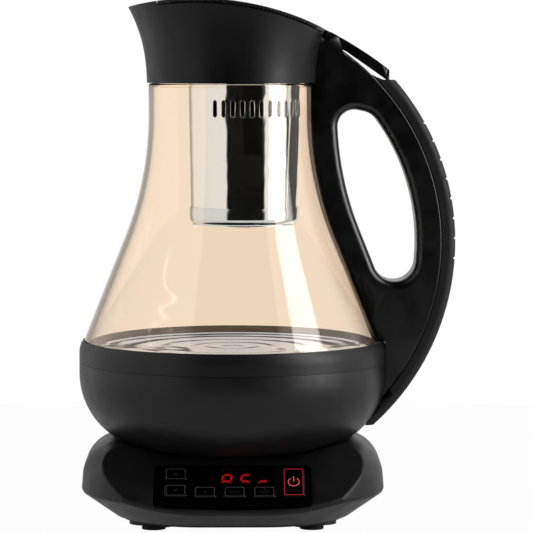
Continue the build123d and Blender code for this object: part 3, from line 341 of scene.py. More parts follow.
@dataclass(frozen=True)
class Steel(Finish):
    """Stainless steel or another bare metal, polished or brushed, with slight waves."""

    colour: Colour = (0.62, 0.63, 0.64)
    roughness: float = 0.1
    rough_spread: float = 0.03
    least_roughness: float = 0.02
    tone_spread: float = 0.05
    brushing: Brushing = Brushing.NONE
    brush_size: float = 0.3 * MM
    brush_depth: float = 0.002 * MM
    brush_detail: float = 2.0
    upright_share: float = 0.02
    wave_size: float = 30.0 * MM
    wave_depth: float = 0.02 * MM

    def lines(self, shader: Shader) -> Socket:
        """Make the brush lines.

        Args:
            shader: The material being made.

        Returns:
            Their height.
        """
        if self.brushing is Brushing.UPRIGHT:
            return shader.noise(self.brush_size, self.brush_detail, (1.0, 1.0, self.upright_share))
        if self.brushing is Brushing.NONE:
            return shader.noise(self.brush_size, self.brush_detail)
        flat = shader.add("ShaderNodeMapping", {"Vector": shader.place(), "Scale": (1.0, 1.0, 0.0)})
        length = shader.node("ShaderNodeVectorMath", {"Vector": flat}, operation="LENGTH").outputs
        return shader.add(
            "ShaderNodeTexNoise",
            {"W": length["Value"], "Scale": 1.0 / self.brush_size, "Detail": self.brush_detail},
            noise_dimensions="1D",
        )

    def paint(self, shader: Shader) -> None:
        """Make the material's nodes.

        Args:
            shader: The material being made.
        """
        lines = self.lines(shader)
        waves = shader.noise(self.wave_size, detail=1.0)
        wavy = shader.bump(waves, self.wave_depth)
        rough = shader.spread(lines, self.roughness, self.rough_spread, self.least_roughness)
        shader.surface(
            {
                "Base Color": shader.mottled(waves, self.colour, self.tone_spread),
                "Metallic": 1.0,
                "Roughness": rough,
                "Normal": shader.bump(lines, self.brush_depth, under=wavy),
            }
        )


@dataclass(frozen=True)
class PaintedInside(Finish):
    """A turned or tapered wall in one finish, whose inside is painted another colour for light or shade:
    painted shade inside the infuser, a painted reflection inside the clamp ring.

    The border runs through the middle of the wall. It has low_radius at low_z,
    and its radius grows by lean_share of the way up from there.
    """

    colour: Colour
    # Painted light: the inside's colour, dark where it paints shade, pale where it paints a reflection.
    inside_painted_shade_and_reflection: Colour
    low_radius: float
    low_z: float = 0.0
    lean_share: float = 0.0
    axis_x: float = 0.0
    metallic: float = 1.0
    specular: float = 0.5
    roughness: float = 0.05
    rough_spread_share: float = 0.3
    wave_size: float = 45.0 * MM
    wave_depth: float = 0.03 * MM

    def outside(self, shader: Shader) -> Socket:
        """Tell the outside from the inside.

        Args:
            shader: The material being made.

        Returns:
            1 outside the middle of the wall and 0 inside it.
        """
        way = shader.axes()
        across = shader.sum("SUBTRACT", way["X"], self.axis_x)
        square = shader.sum("MULTIPLY", across, across)
        radius = shader.sum("SQRT", shader.sum("MULTIPLY_ADD", way["Y"], way["Y"], square))
        start = self.low_radius - self.lean_share * self.low_z
        middle = shader.sum("MULTIPLY_ADD", way["Z"], self.lean_share, start)
        return shader.sum("GREATER_THAN", radius, middle)

    def paint(self, shader: Shader) -> None:
        """Make the material's nodes.

        Args:
            shader: The material being made.
        """
        waves = shader.noise(self.wave_size, detail=1.0)
        rough_spread = self.roughness * self.rough_spread_share
        shader.surface(
            {
                # The inside of the wall gets the painted shade or painted reflection in place of the
                # finish's own colour.
                "Base Color": shader.shades(self.outside(shader), self.inside_painted_shade_and_reflection, self.colour),
                "Metallic": self.metallic,
                "Specular IOR Level": self.specular,
                "Roughness": shader.spread(waves, self.roughness, rough_spread),
                "Normal": shader.bump(waves, self.wave_depth),
            }
        )


@dataclass(frozen=True)
class Glass(Finish):
    """Clear or tinted glass whose colour deepens with its thickness and towards the far side."""

    tint: Colour
    density: float
    far_tint: Colour = WHITE
    far_edge: float = 60.0 * MM
    ior: float = 1.5
    wave_size: float = 40.0 * MM
    wave_depth: float = 0.01 * MM

    def paint(self, shader: Shader) -> None:
        """Make the material's nodes.

        Args:
            shader: The material being made.
        """
        waves = shader.noise(self.wave_size, detail=0.0)
        depth = shader.axes()["Y"]
        far = shader.add(
            "ShaderNodeMapRange", {"Value": depth, "From Min": -self.far_edge, "From Max": self.far_edge}
        )
        shader.surface(
            {
                "Base Color": shader.shades(far, WHITE, self.far_tint),
                "Roughness": 0.0,
                "IOR": self.ior,
                "Transmission Weight": 1.0,
                "Normal": shader.bump(waves, self.wave_depth),
            }
        )
        inside: Values = {"Color": opaque(self.tint), "Density": self.density}
        shader.link(shader.add("ShaderNodeVolumeAbsorption", inside), shader.output["Volume"])


@dataclass(frozen=True)
class Lit(Finish):
    """A lit sign: dark plastic that glows, a little unevenly."""

    colour: Colour
    strength: float
    cloud_size: float = 3.0 * MM
    cloud_share: float = 0.85
    body_share: float = 0.3
    roughness: float = 0.4

    def paint(self, shader: Shader) -> None:
        """Make the material's nodes.

        Args:
            shader: The material being made.
        """
        clouds = shader.noise(self.cloud_size, detail=1.0)
        glow = shader.shades(clouds, tinted(self.colour, self.cloud_share), self.colour)
        shader.surface(
            {
                "Base Color": opaque(tinted(self.colour, self.body_share)),
                "Roughness": self.roughness,
                "Emission Color": glow,
                "Emission Strength": self.strength,
            }
        )


@dataclass(frozen=True)
class CircuitBoard(Finish):
    """Green solder mask over copper tracks."""

    mask: Colour = (0.012, 0.085, 0.03)
    mask_share: float = 1.2
    track: Colour = (0.03, 0.17, 0.06)
    track_size: float = 2.4 * MM
    track_share: float = 0.06
    track_depth: float = 0.03 * MM
    roughness: float = 0.32

    def paint(self, shader: Shader) -> None:
        """Make the material's nodes.

        Args:
            shader: The material being made.
        """
        tracks = shader.node(
            "ShaderNodeTexBrick",
            {
                "Vector": shader.place(),
                "Color1": opaque(self.mask),
                "Color2": opaque(tinted(self.mask, self.mask_share)),
                "Mortar": opaque(self.track),
                "Scale": 1.0 / self.track_size,
                "Mortar Size": self.track_share,
            },
        ).outputs
        shader.surface(
            {
                "Base Color": tracks["Color"],
                "Roughness": self.roughness,
                "Normal": shader.bump(tracks["Fac"], self.track_depth),
            }
        )


BASE_BLACK = Plastic("base_black", (0.011, 0.011, 0.012), roughness=0.45, specular=0.28)
BOWL_BLACK = Plastic("bowl_black", (0.011, 0.011, 0.012), roughness=0.4, specular=0.3)
COLLAR_BLACK = Plastic("collar_black", (0.006, 0.006, 0.0062), roughness=0.4, specular=0.23)
HANDLE_GLOSS = Plastic(
    "handle_gloss",
    (0.0008, 0.0008, 0.001),
    roughness=0.33,
    grain_depth=0.0004 * MM,
    specular=0.55,
)
GRIP_SOFT = Plastic(
    "grip_soft",
    (0.012, 0.012, 0.014),
    roughness=0.55,
    grain=0.8 * MM,
    grain_depth=0.05 * MM,
    specular=0.3,
)
PANEL_GLOSS = Plastic(
    "panel_gloss",
    (0.0015, 0.0015, 0.002),
    roughness=0.1,
    rough_spread=0.02,
    grain_depth=0.0005 * MM,
    specular=0.35,
)
KEY_BLACK = Plastic(
    "key_black",
    (0.002, 0.002, 0.0025),
    roughness=0.14,
    rough_spread=0.03,
    grain_depth=0.001 * MM,
)
KEY_PRINT = Plastic("key_print", (0.14, 0.14, 0.145), roughness=0.35)
KEY_FAINT = Plastic("key_faint", (0.022, 0.022, 0.024), roughness=0.35)
INNER_BLACK = Plastic("inner_black", (0.02, 0.02, 0.02), roughness=0.5)
MODULE_DARK = Plastic("module_dark", (0.004, 0.003, 0.003), roughness=0.6, specular=0.1)
RELAY_BLUE = Plastic("relay_blue", (0.02, 0.05, 0.2), roughness=0.35)
FOOT_RUBBER = Plastic(
    "foot_rubber",
    (0.006, 0.006, 0.006),
    roughness=0.75,
    grain=0.6 * MM,
    grain_depth=0.04 * MM,
    specular=0.2,
)
SILICONE = Plastic("silicone", (0.55, 0.55, 0.52), roughness=0.5, mottle=0.06, specular=0.35)
SEAL_GREY = Plastic("seal_grey", (0.4, 0.42, 0.46), roughness=0.5, specular=0.3)
MIRROR_STEEL = PaintedInside(
    "mirror_steel",
    colour=(0.89, 0.965, 1.0),
    # Painted shade: the infuser's inside is painted near black, for the shade inside the tube.
    inside_painted_shade_and_reflection=(0.025, 0.025, 0.028),
    low_radius=INFUSER_LOW_RADIUS,
    low_z=INFUSER_LOW_Z,
    lean_share=INFUSER_FLARE / INFUSER_RISE,
    axis_x=INFUSER_AXIS_X,
)
RING_BLACK = PaintedInside(
    "ring_black",
    colour=(0.011, 0.011, 0.012),
    # Painted reflection: the black ring's inner face is painted pale steel grey, for the pale arc seen
    # through the glass.
    inside_painted_shade_and_reflection=(0.6, 0.7, 0.82),
    low_radius=RING_BORDER_RADIUS,
    metallic=0.0,
    specular=0.3,
    roughness=0.42,
    wave_size=0.45 * MM,
    wave_depth=0.012 * MM,
)
CAP_STEEL = Steel("cap_steel", (0.74, 0.83, 0.92), roughness=0.09)
MESH_STEEL = Steel("mesh_steel", (0.1, 0.105, 0.11), roughness=0.22, brushing=Brushing.ROUND)
RIM_STEEL = Steel("rim_steel", (0.6, 0.66, 0.7), roughness=0.18)
PLATE_STEEL = Steel(
    "plate_steel",
    (0.5, 0.69, 0.98),
    brushing=Brushing.ROUND,
    brush_depth=0.0006 * MM,
    wave_size=34.0 * MM,
    wave_depth=1.2 * MM,
)
SATIN_STEEL = Steel("satin_steel", roughness=0.28, brushing=Brushing.UPRIGHT)
LINER_STEEL = Steel("liner_steel", roughness=0.25, brushing=Brushing.ROUND)
ALUMINIUM = Steel("aluminium", (0.72, 0.72, 0.73), roughness=0.38, brushing=Brushing.ROUND)
CONTACT_ALLOY = Steel("contact_alloy", (0.72, 0.5, 0.26), roughness=0.22)
AMBER_GLASS = Glass(
    "amber_glass",
    (0.927, 0.555, 0.087),
    density=52.0,
    far_tint=(0.976, 0.865, 0.745),
    ior=1.42,
    wave_depth=0.002 * MM,
)
SMOKED_LENS = Glass("smoked_lens", (0.5, 0.2, 0.2), density=500.0, ior=1.03)
DIGIT_RED = Lit("digit_red", (0.75, 0.015, 0.03), strength=0.8)
POWER_FRAME_RED = Lit("power_frame_red", (0.55, 0.012, 0.03), strength=0.8)
POWER_SIGN_RED = Lit("power_sign_red", (1.0, 0.12, 0.15), strength=0.9)
BOARD_GREEN = CircuitBoard("board_green")


def new_piece(name: str, mesh: bpy.types.Mesh) -> Piece:
    """Put a mesh into the scene as an object at the origin.

    Args:
        name: The object's name.
        mesh: Its mesh.

    Returns:
        The object.
    """
    piece = bpy.data.objects.new(name, mesh)
    bpy.context.scene.collection.objects.link(piece)
    return piece


def make_plain(piece: Piece) -> None:
    """Turn an object with modifiers into one with a plain mesh.

    Args:
        piece: The object.
    """
    graph = bpy.context.evaluated_depsgraph_get()
    mesh = bpy.data.meshes.new_from_object(piece.evaluated_get(graph))
    piece.modifiers.clear()
    old = piece.data
    piece.data = mesh
    bpy.data.meshes.remove(old)


def smooth_piece(name: str, shape: Shape, sharp: float) -> Piece:
    """Make a smooth-shaded object of a mesh under construction.

    Args:
        name: The piece's name.
        shape: The mesh, which is freed.
        sharp: Edges that turn by more than this, in degrees, stay sharp.

    Returns:
        The piece.
    """
    mesh = bpy.data.meshes.new(name)
    shape.to_mesh(mesh)
    shape.free()
    mesh.shade_smooth()
    mesh.set_sharp_from_angle(angle=math.radians(sharp))
    return new_piece(name, mesh)


def arc(centre: Pair, radius: float, start: float, end: float, steps: int) -> Profile:
    """Give points along an arc.

    Args:
        centre: The arc's centre.
        radius: Its radius.
        start: Its first angle, in degrees.
        end: Its last angle, in degrees.
        steps: How many runs it has.

    Returns:
        The points, both ends included.
    """
    turns = [math.radians(start + (end - start) * k / steps) for k in range(steps + 1)]
    return [(centre[0] + radius * math.cos(t), centre[1] + radius * math.sin(t)) for t in turns]


def lathe(name: str, profile: Profile, segments: int, sharp: float) -> Piece:
    """Turn a closed section round the upright axis.

    Args:
        name: The piece's name.
        profile: Radius and height of each point, in order round the section.
        segments: How many faces go round.
        sharp: Edges that turn by more than this, in degrees, stay sharp.

    Returns:
        The piece.
    """
    shape = bmesh.new()
    rings = []
    for k in range(segments):
        turn = 2 * math.pi * k / segments
        rings.append([shape.verts.new((r * math.cos(turn), r * math.sin(turn), z)) for r, z in profile])
    count = len(profile)
    for k, ring in enumerate(rings):
        following = rings[(k + 1) % segments]
        for i in range(count):
            j = (i + 1) % count
            shape.faces.new((ring[i], following[i], following[j], ring[j]))
    bmesh.ops.remove_doubles(shape, verts=shape.verts, dist=TURNED_MERGE)
    bmesh.ops.recalc_face_normals(shape, faces=shape.faces)
    return smooth_piece(name, shape, sharp)


class Workshop:
    """Keeps the materials that are made and puts them on pieces."""

    def __init__(self, frame: dict) -> None:
        """Remember the frame's nodes and joints, and each node's body and record slot.

        Args:
            frame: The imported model.
        """
        record = frame["record"]
        bodies = record["behaviour"]["bodies"]
        self.nodes: dict[str, Piece] = frame["nodes"]
        self.joints: list[dict] = frame["joints"]
        self.body_of = {node: body for body, nodes in bodies.items() for node in nodes}
        self.slot_of = {row["node"]: row["material_slot"] for row in record["subparts"]}
        self.made: dict[str, Material] = {}

    def material(self, finish: Finish) -> Material:
        """Give a finish's material, made once.

        Args:
            finish: The finish.

        Returns:
            Its material.
        """
        if finish.name not in self.made:
            self.made[finish.name] = finish.build()
        return self.made[finish.name]

    def dress(self, finish: Finish, *names: str) -> None:
        """Put a finish on solids of the frame.

        Args:
            finish: The finish.
            names: The solids' node names.
        """
        for name in names:
            node = self.nodes[name]
            if not node.material_slots:
                node.data.materials.append(None)
            for place in node.material_slots:
                place.material = self.material(finish)
            LOG.info("%s wears %s", name, finish.name)

    def fit(self, piece: Piece, finish: Finish, beside: str, stands_for: tuple[str, ...] = ()) -> None:
        """Finish a new piece and let it ride on the body of a solid.

        Args:
            piece: The new piece.
            finish: Its finish.
            beside: The node whose body it rides on.
            stands_for: Nodes that it replaces.
        """
        piece.data.materials.clear()
        piece.data.materials.append(self.material(finish))
        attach(piece, self.body_of[beside])
        if stands_for:
            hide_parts(*stands_for)
        LOG.info("%s rides on %s with %s", piece.name, self.body_of[beside], finish.name)

    def polish(self, finish: Finish, *names: str, wide_share: float = 1.0) -> None:
        """Put smooth-shaded copies in the place of solids.

        Args:
            finish: The copies' finish.
            names: The solids' node names.
            wide_share: Share of the solid's width, front to back, that the copy keeps.
        """
        for name in names:
            shape = bmesh.new()
            shape.from_mesh(self.nodes[name].data)
            bmesh.ops.remove_doubles(shape, verts=shape.verts, dist=COPY_MERGE)
            bmesh.ops.scale(shape, vec=(1.0, wide_share, 1.0), verts=shape.verts)
            piece = smooth_piece(f"{name}_smooth", shape, COPY_SHARP)
            weighted = piece.modifiers.new("weighted", "WEIGHTED_NORMAL")
            weighted.keep_sharp = True
            make_plain(piece)
            self.fit(piece, finish, name, (name,))


class Repeat(Nodes):
    """A geometry tree that sets one shape at several places, with named inputs for its sizes."""

    def __init__(self, name: str, sizes: dict[str, float]) -> None:
        """Start a tree.

        Args:
            name: The tree's name.
            sizes: Its inputs, with one named count. A whole number makes a count.
        """
        super().__init__(bpy.data.node_groups.new(name, "GeometryNodeTree"))
        self.name = name
        self.sizes = sizes
        face = self.tree.interface
        for label, value in sizes.items():
            kind = "NodeSocketInt" if isinstance(value, int) else "NodeSocketFloat"
            face.new_socket(label, in_out="INPUT", socket_type=kind)
        face.new_socket("Geometry", in_out="OUTPUT", socket_type="NodeSocketGeometry")
        self.size = self.node("NodeGroupInput").outputs

    def vector(self, x: object, y: object, z: object) -> Socket:
        """Join three numbers into a vector."""
        return self.add("ShaderNodeCombineXYZ", {"X": x, "Y": y, "Z": z})

    def rod(self, sides: str, radius: str, long: str) -> Socket:
        """Make an upright rod about the origin.

        Args:
            sides: The input for how many sides it has.
            radius: The input for its radius.
            long: The input for its length.

        Returns:
            The rod.
        """
        size = self.size
        return self.add(
            "GeometryNodeMeshCylinder",
            {"Vertices": size[sides], "Radius": size[radius], "Depth": size[long]},
        )

    def lifted(self, shape: Socket, height: Socket) -> Socket:
        """Lift a shape to a height."""
        lift = self.vector(0.0, 0.0, height)
        return self.add("GeometryNodeTransform", {"Geometry": shape, "Translation": lift})

    def build(self, shape: Socket, place: Socket, turn: Socket, material: Material) -> Piece:
        """Set the shape at each place and make a plain mesh of the result.

        Args:
            shape: The shape that repeats.
            place: Where each one goes, as a field of its number.
            turn: How each one is turned, as Euler angles.
            material: What it is made of.

        Returns:
            The piece.
        """
        points = self.add("GeometryNodePoints", {"Count": self.size["count"]})
        points = self.add("GeometryNodeSetPosition", {"Geometry": points, "Position": place})
        rotation = self.add("FunctionNodeEulerToRotation", {"Euler": turn})
        copies = self.add(
            "GeometryNodeInstanceOnPoints", {"Points": points, "Instance": shape, "Rotation": rotation}
        )
        solid = self.add("GeometryNodeRealizeInstances", {"Geometry": copies})
        dressed = self.add("GeometryNodeSetMaterial", {"Geometry": solid, "Material": material})
        self.link(dressed, self.node("NodeGroupOutput").inputs[0])
        piece = new_piece(self.name, bpy.data.meshes.new(self.name))
        modifier = piece.modifiers.new(self.name, "NODES")
        modifier.node_group = self.tree
        for item in self.tree.interface.items_tree:
            if item.in_out == "INPUT":
                modifier[item.identifier] = self.sizes[item.name]
        make_plain(piece)
        return piece


@dataclass
class GlassBody:
    """The tinted glass of the jug, with a round lip and foot."""

    wall: float = 2.8 * MM
    neck_radius: float = 46.0 * MM
    flare_z: float = 222.0 * MM
    flare_radius: float = 180.0 * MM
    flare_steps: int = 40
    slope: float = 21.8
    cone_low_z: float = 100.5 * MM
    heel_radius: float = 10.0 * MM
    heel_steps: int = 8
    low_z: float = 91.0 * MM
    shoulder_z: float = 238.6 * MM
    finish_radius: float = 43.8 * MM
    finish_inside: float = 41.2 * MM
    finish_step: float = 2.0 * MM
    top_z: float = 248.0 * MM
    lip: float = 1.2 * MM
    lip_steps: int = 5
    segments: int = 256
    sharp: float = 40.0

    def side(self, inset: float) -> Profile:
        """Give one face of the wall from the foot up to the neck.

        Args:
            inset: Depth under the outer face.

        Returns:
            The face's points.
        """
        turn = math.radians(self.slope)
        flare_x = self.neck_radius + self.flare_radius
        bend_z = self.flare_z - self.flare_radius * math.sin(turn)
        bend_r = flare_x - self.flare_radius * math.cos(turn)
        cone_r = bend_r + (bend_z - self.cone_low_z) * math.tan(turn)
        heel_r = cone_r - self.heel_radius * math.cos(turn)
        heel_z = self.cone_low_z - self.heel_radius * math.sin(turn)
        heel = self.heel_radius - inset
        flare = self.flare_radius + inset
        points = [(heel_r + heel, self.low_z)]
        points += arc((heel_r, heel_z), heel, 0, self.slope, self.heel_steps)
        points += arc((flare_x, self.flare_z), flare, 180 + self.slope, 180, self.flare_steps)
        return points

    def rounded_edge(self, radius: float, top: float, start: float) -> Profile:
        """Round the top edge of a face.

        Args:
            radius: The radius of the arc's centre.
            top: The height where the arc ends.
            start: The arc's first angle, in degrees.

        Returns:
            The arc's points, up to its top.
        """
        return arc((radius, top - self.lip), self.lip, start, 90, self.lip_steps)

    def build(self) -> Piece:
        """Turn the glass's section.

        Returns:
            The glass.
        """
        outer = self.side(0.0)
        outer += self.rounded_edge(self.neck_radius - self.lip, self.shoulder_z, 0)
        outer.append((self.finish_radius, self.shoulder_z))
        outer += self.rounded_edge(self.finish_radius - self.lip, self.top_z, 0)
        inner = self.side(self.wall)
        inner.append((self.neck_radius - self.wall, self.shoulder_z - self.finish_step))
        inner.append((self.finish_inside, self.shoulder_z - self.finish_step))
        inner += self.rounded_edge(self.finish_inside + self.lip, self.top_z, 180)
        return lathe("jug_glass", outer + inner[::-1], self.segments, self.sharp)

    def dress(self, shop: Workshop) -> None:
        """Build the glass and let it stand for the solid."""
        shop.fit(self.build(), AMBER_GLASS, "glass_jug", ("glass_jug",))


@dataclass
class HeaterPlate:
    """The steel floor of the jug: a turned sheet with a bead at its edge and shallow rings."""

    radius: float = 76.3 * MM
    flange_radius: float = 81.0 * MM
    low_z: float = 88.6 * MM
    flange_z: float = 90.0 * MM
    top_z: float = 95.0 * MM
    sheet: float = 1.4 * MM
    edge: float = 3.0 * MM
    edge_steps: int = 8
    dish_radius: float = 70.0 * MM
    dish_drop: float = 0.9 * MM
    ring_step: float = 17.0 * MM
    ring_high: float = 0.26 * MM
    steps: int = 60
    segments: int = 192
    sharp: float = 50.0

    def height(self, radius: float) -> float:
        """Give the top's height at a radius.

        Args:
            radius: The radius.

        Returns:
            The height.
        """
        bank = self.radius - self.edge - self.dish_radius
        share = min(max((radius - self.dish_radius) / bank, 0.0), 1.0)
        rise = share * share * (3 - 2 * share)
        rings = self.ring_high * math.cos(2 * math.pi * radius / self.ring_step) * (1 - rise)
        return self.top_z - (self.dish_drop - rings) * (1 - rise)

    def build(self) -> Piece:
        """Turn the plate's section.

        Returns:
            The plate.
        """
        rim = self.radius - self.edge
        inside = self.radius - self.sheet
        under = self.top_z - self.sheet - self.dish_drop
        section = [(inside, self.low_z), (self.flange_radius, self.low_z)]
        section += [(self.flange_radius, self.flange_z), (self.radius, self.flange_z)]
        section += arc((rim, self.top_z - self.edge), self.edge, 0, 90, self.edge_steps)
        radii = [rim * (1 - k / self.steps) for k in range(1, self.steps + 1)]
        section += [(radius, self.height(radius)) for radius in radii]
        section += [(0.0, under), (inside, under)]
        return lathe("heater_plate_turned", section, self.segments, self.sharp)

    def dress(self, shop: Workshop) -> None:
        """Build the plate and let it stand for the solid."""
        shop.fit(self.build(), PLATE_STEEL, "heater_plate", ("heater_plate",))


@dataclass
class SlotRims:
    """Rolled rims round the slots of the infuser, with their bearings in degrees."""

    count: int = 16
    first: float = -121.25
    step: float = 9.7
    axis_x: float = INFUSER_AXIS_X
    radius: float = 30.34 * MM
    middle_z: float = 225.0 * MM
    wide: float = 2.4 * MM
    high: float = 9.4 * MM
    rounding_share: float = 0.49
    wire: float = 0.14 * MM
    wire_sides: int = 6

    def build(self, material: Material) -> Piece:
        """Make the rims.

        Args:
            material: What they are made of.

        Returns:
            The piece.
        """
        rims = Repeat("infuser_slot_rims", asdict(self))
        size = rims.size
        frame = rims.add(
            "GeometryNodeCurvePrimitiveQuadrilateral", {"Width": size["wide"], "Height": size["high"]}
        )
        rounding = rims.sum("MULTIPLY", size["wide"], size["rounding_share"])
        frame = rims.add("GeometryNodeFilletCurve", {"Curve": frame, "Radius": rounding}, mode="BEZIER")
        wire = rims.add(
            "GeometryNodeCurvePrimitiveCircle",
            {"Resolution": size["wire_sides"], "Radius": size["wire"]},
        )
        rim = rims.add("GeometryNodeCurveToMesh", {"Curve": frame, "Profile Curve": wire})
        number = rims.add("GeometryNodeInputIndex")
        bearing = rims.sum("MULTIPLY_ADD", number, size["step"], size["first"])
        turn = rims.sum("RADIANS", bearing)
        place = rims.vector(
            rims.sum("MULTIPLY_ADD", rims.sum("COSINE", turn), size["radius"], size["axis_x"]),
            rims.sum("MULTIPLY", rims.sum("SINE", turn), size["radius"]),
            size["middle_z"],
        )
        euler = rims.vector(math.pi / 2, 0.0, rims.sum("ADD", turn, math.pi / 2))
        return rims.build(rim, place, euler, material)

    def dress(self, shop: Workshop) -> None:
        """Make the rims and let them ride on the infuser."""
        shop.fit(self.build(shop.material(RIM_STEEL)), RIM_STEEL, "infuser_body")


@dataclass
class CoverScrews:
    """The four screws of the bottom cover, with cross recesses."""

    count: int = 4
    half_wide: float = 52.0 * MM
    half_deep: float = 16.0 * MM
    head_top: float = 5.5 * MM
    head_radius: float = 2.8 * MM
    head_high: float = 1.8 * MM
    head_sides: int = 40
    shank_radius: float = 1.5 * MM
    shank_long: float = 10.5 * MM
    shank_sides: int = 24
    slot_long: float = 3.4 * MM
    slot_wide: float = 0.7 * MM
    slot_deep: float = 1.1 * MM

    def build(self, material: Material) -> Piece:
        """Make the screws, heads down.

        Args:
            material: What they are made of.

        Returns:
            The piece.
        """
        screws = Repeat("cover_screws", asdict(self))
        size = screws.size
        head = screws.rod("head_sides", "head_radius", "head_high")
        head = screws.lifted(head, screws.sum("MULTIPLY", size["head_high"], -0.5))
        low = screws.sum("MULTIPLY", size["head_high"], -1.0)
        deep = screws.sum("MULTIPLY", size["slot_deep"], 2.0)
        for long, wide in (("slot_long", "slot_wide"), ("slot_wide", "slot_long")):
            sides = screws.vector(size[long], size[wide], deep)
            bar = screws.add("GeometryNodeMeshCube", {"Size": sides})
            cut: Values = {"Mesh 1": head, "Mesh 2": screws.lifted(bar, low)}
            head = screws.add("GeometryNodeMeshBoolean", cut, operation="DIFFERENCE")
        shank = screws.rod("shank_sides", "shank_radius", "shank_long")
        shank = screws.lifted(shank, screws.sum("MULTIPLY", size["shank_long"], 0.5))
        joined = screws.node("GeometryNodeJoinGeometry")
        for part in (head, shank):
            screws.link(part, joined.inputs[0])
        number = screws.add("GeometryNodeInputIndex")
        column = screws.sum("MODULO", number, 2.0)
        row = screws.sum("FLOOR", screws.sum("MULTIPLY", number, 0.5))
        across, along = (screws.sum("MULTIPLY_ADD", k, 2.0, -1.0) for k in (column, row))
        place = screws.vector(
            screws.sum("MULTIPLY", across, size["half_wide"]),
            screws.sum("MULTIPLY", along, size["half_deep"]),
            size["head_top"],
        )
        return screws.build(joined.outputs[0], place, screws.vector(0.0, 0.0, number), material)

    def dress(self, shop: Workshop) -> None:
        """Make the screws and let them stand for the plain ones."""
        shop.fit(self.build(shop.material(SATIN_STEEL)), SATIN_STEEL, "base_screws", ("base_screws",))


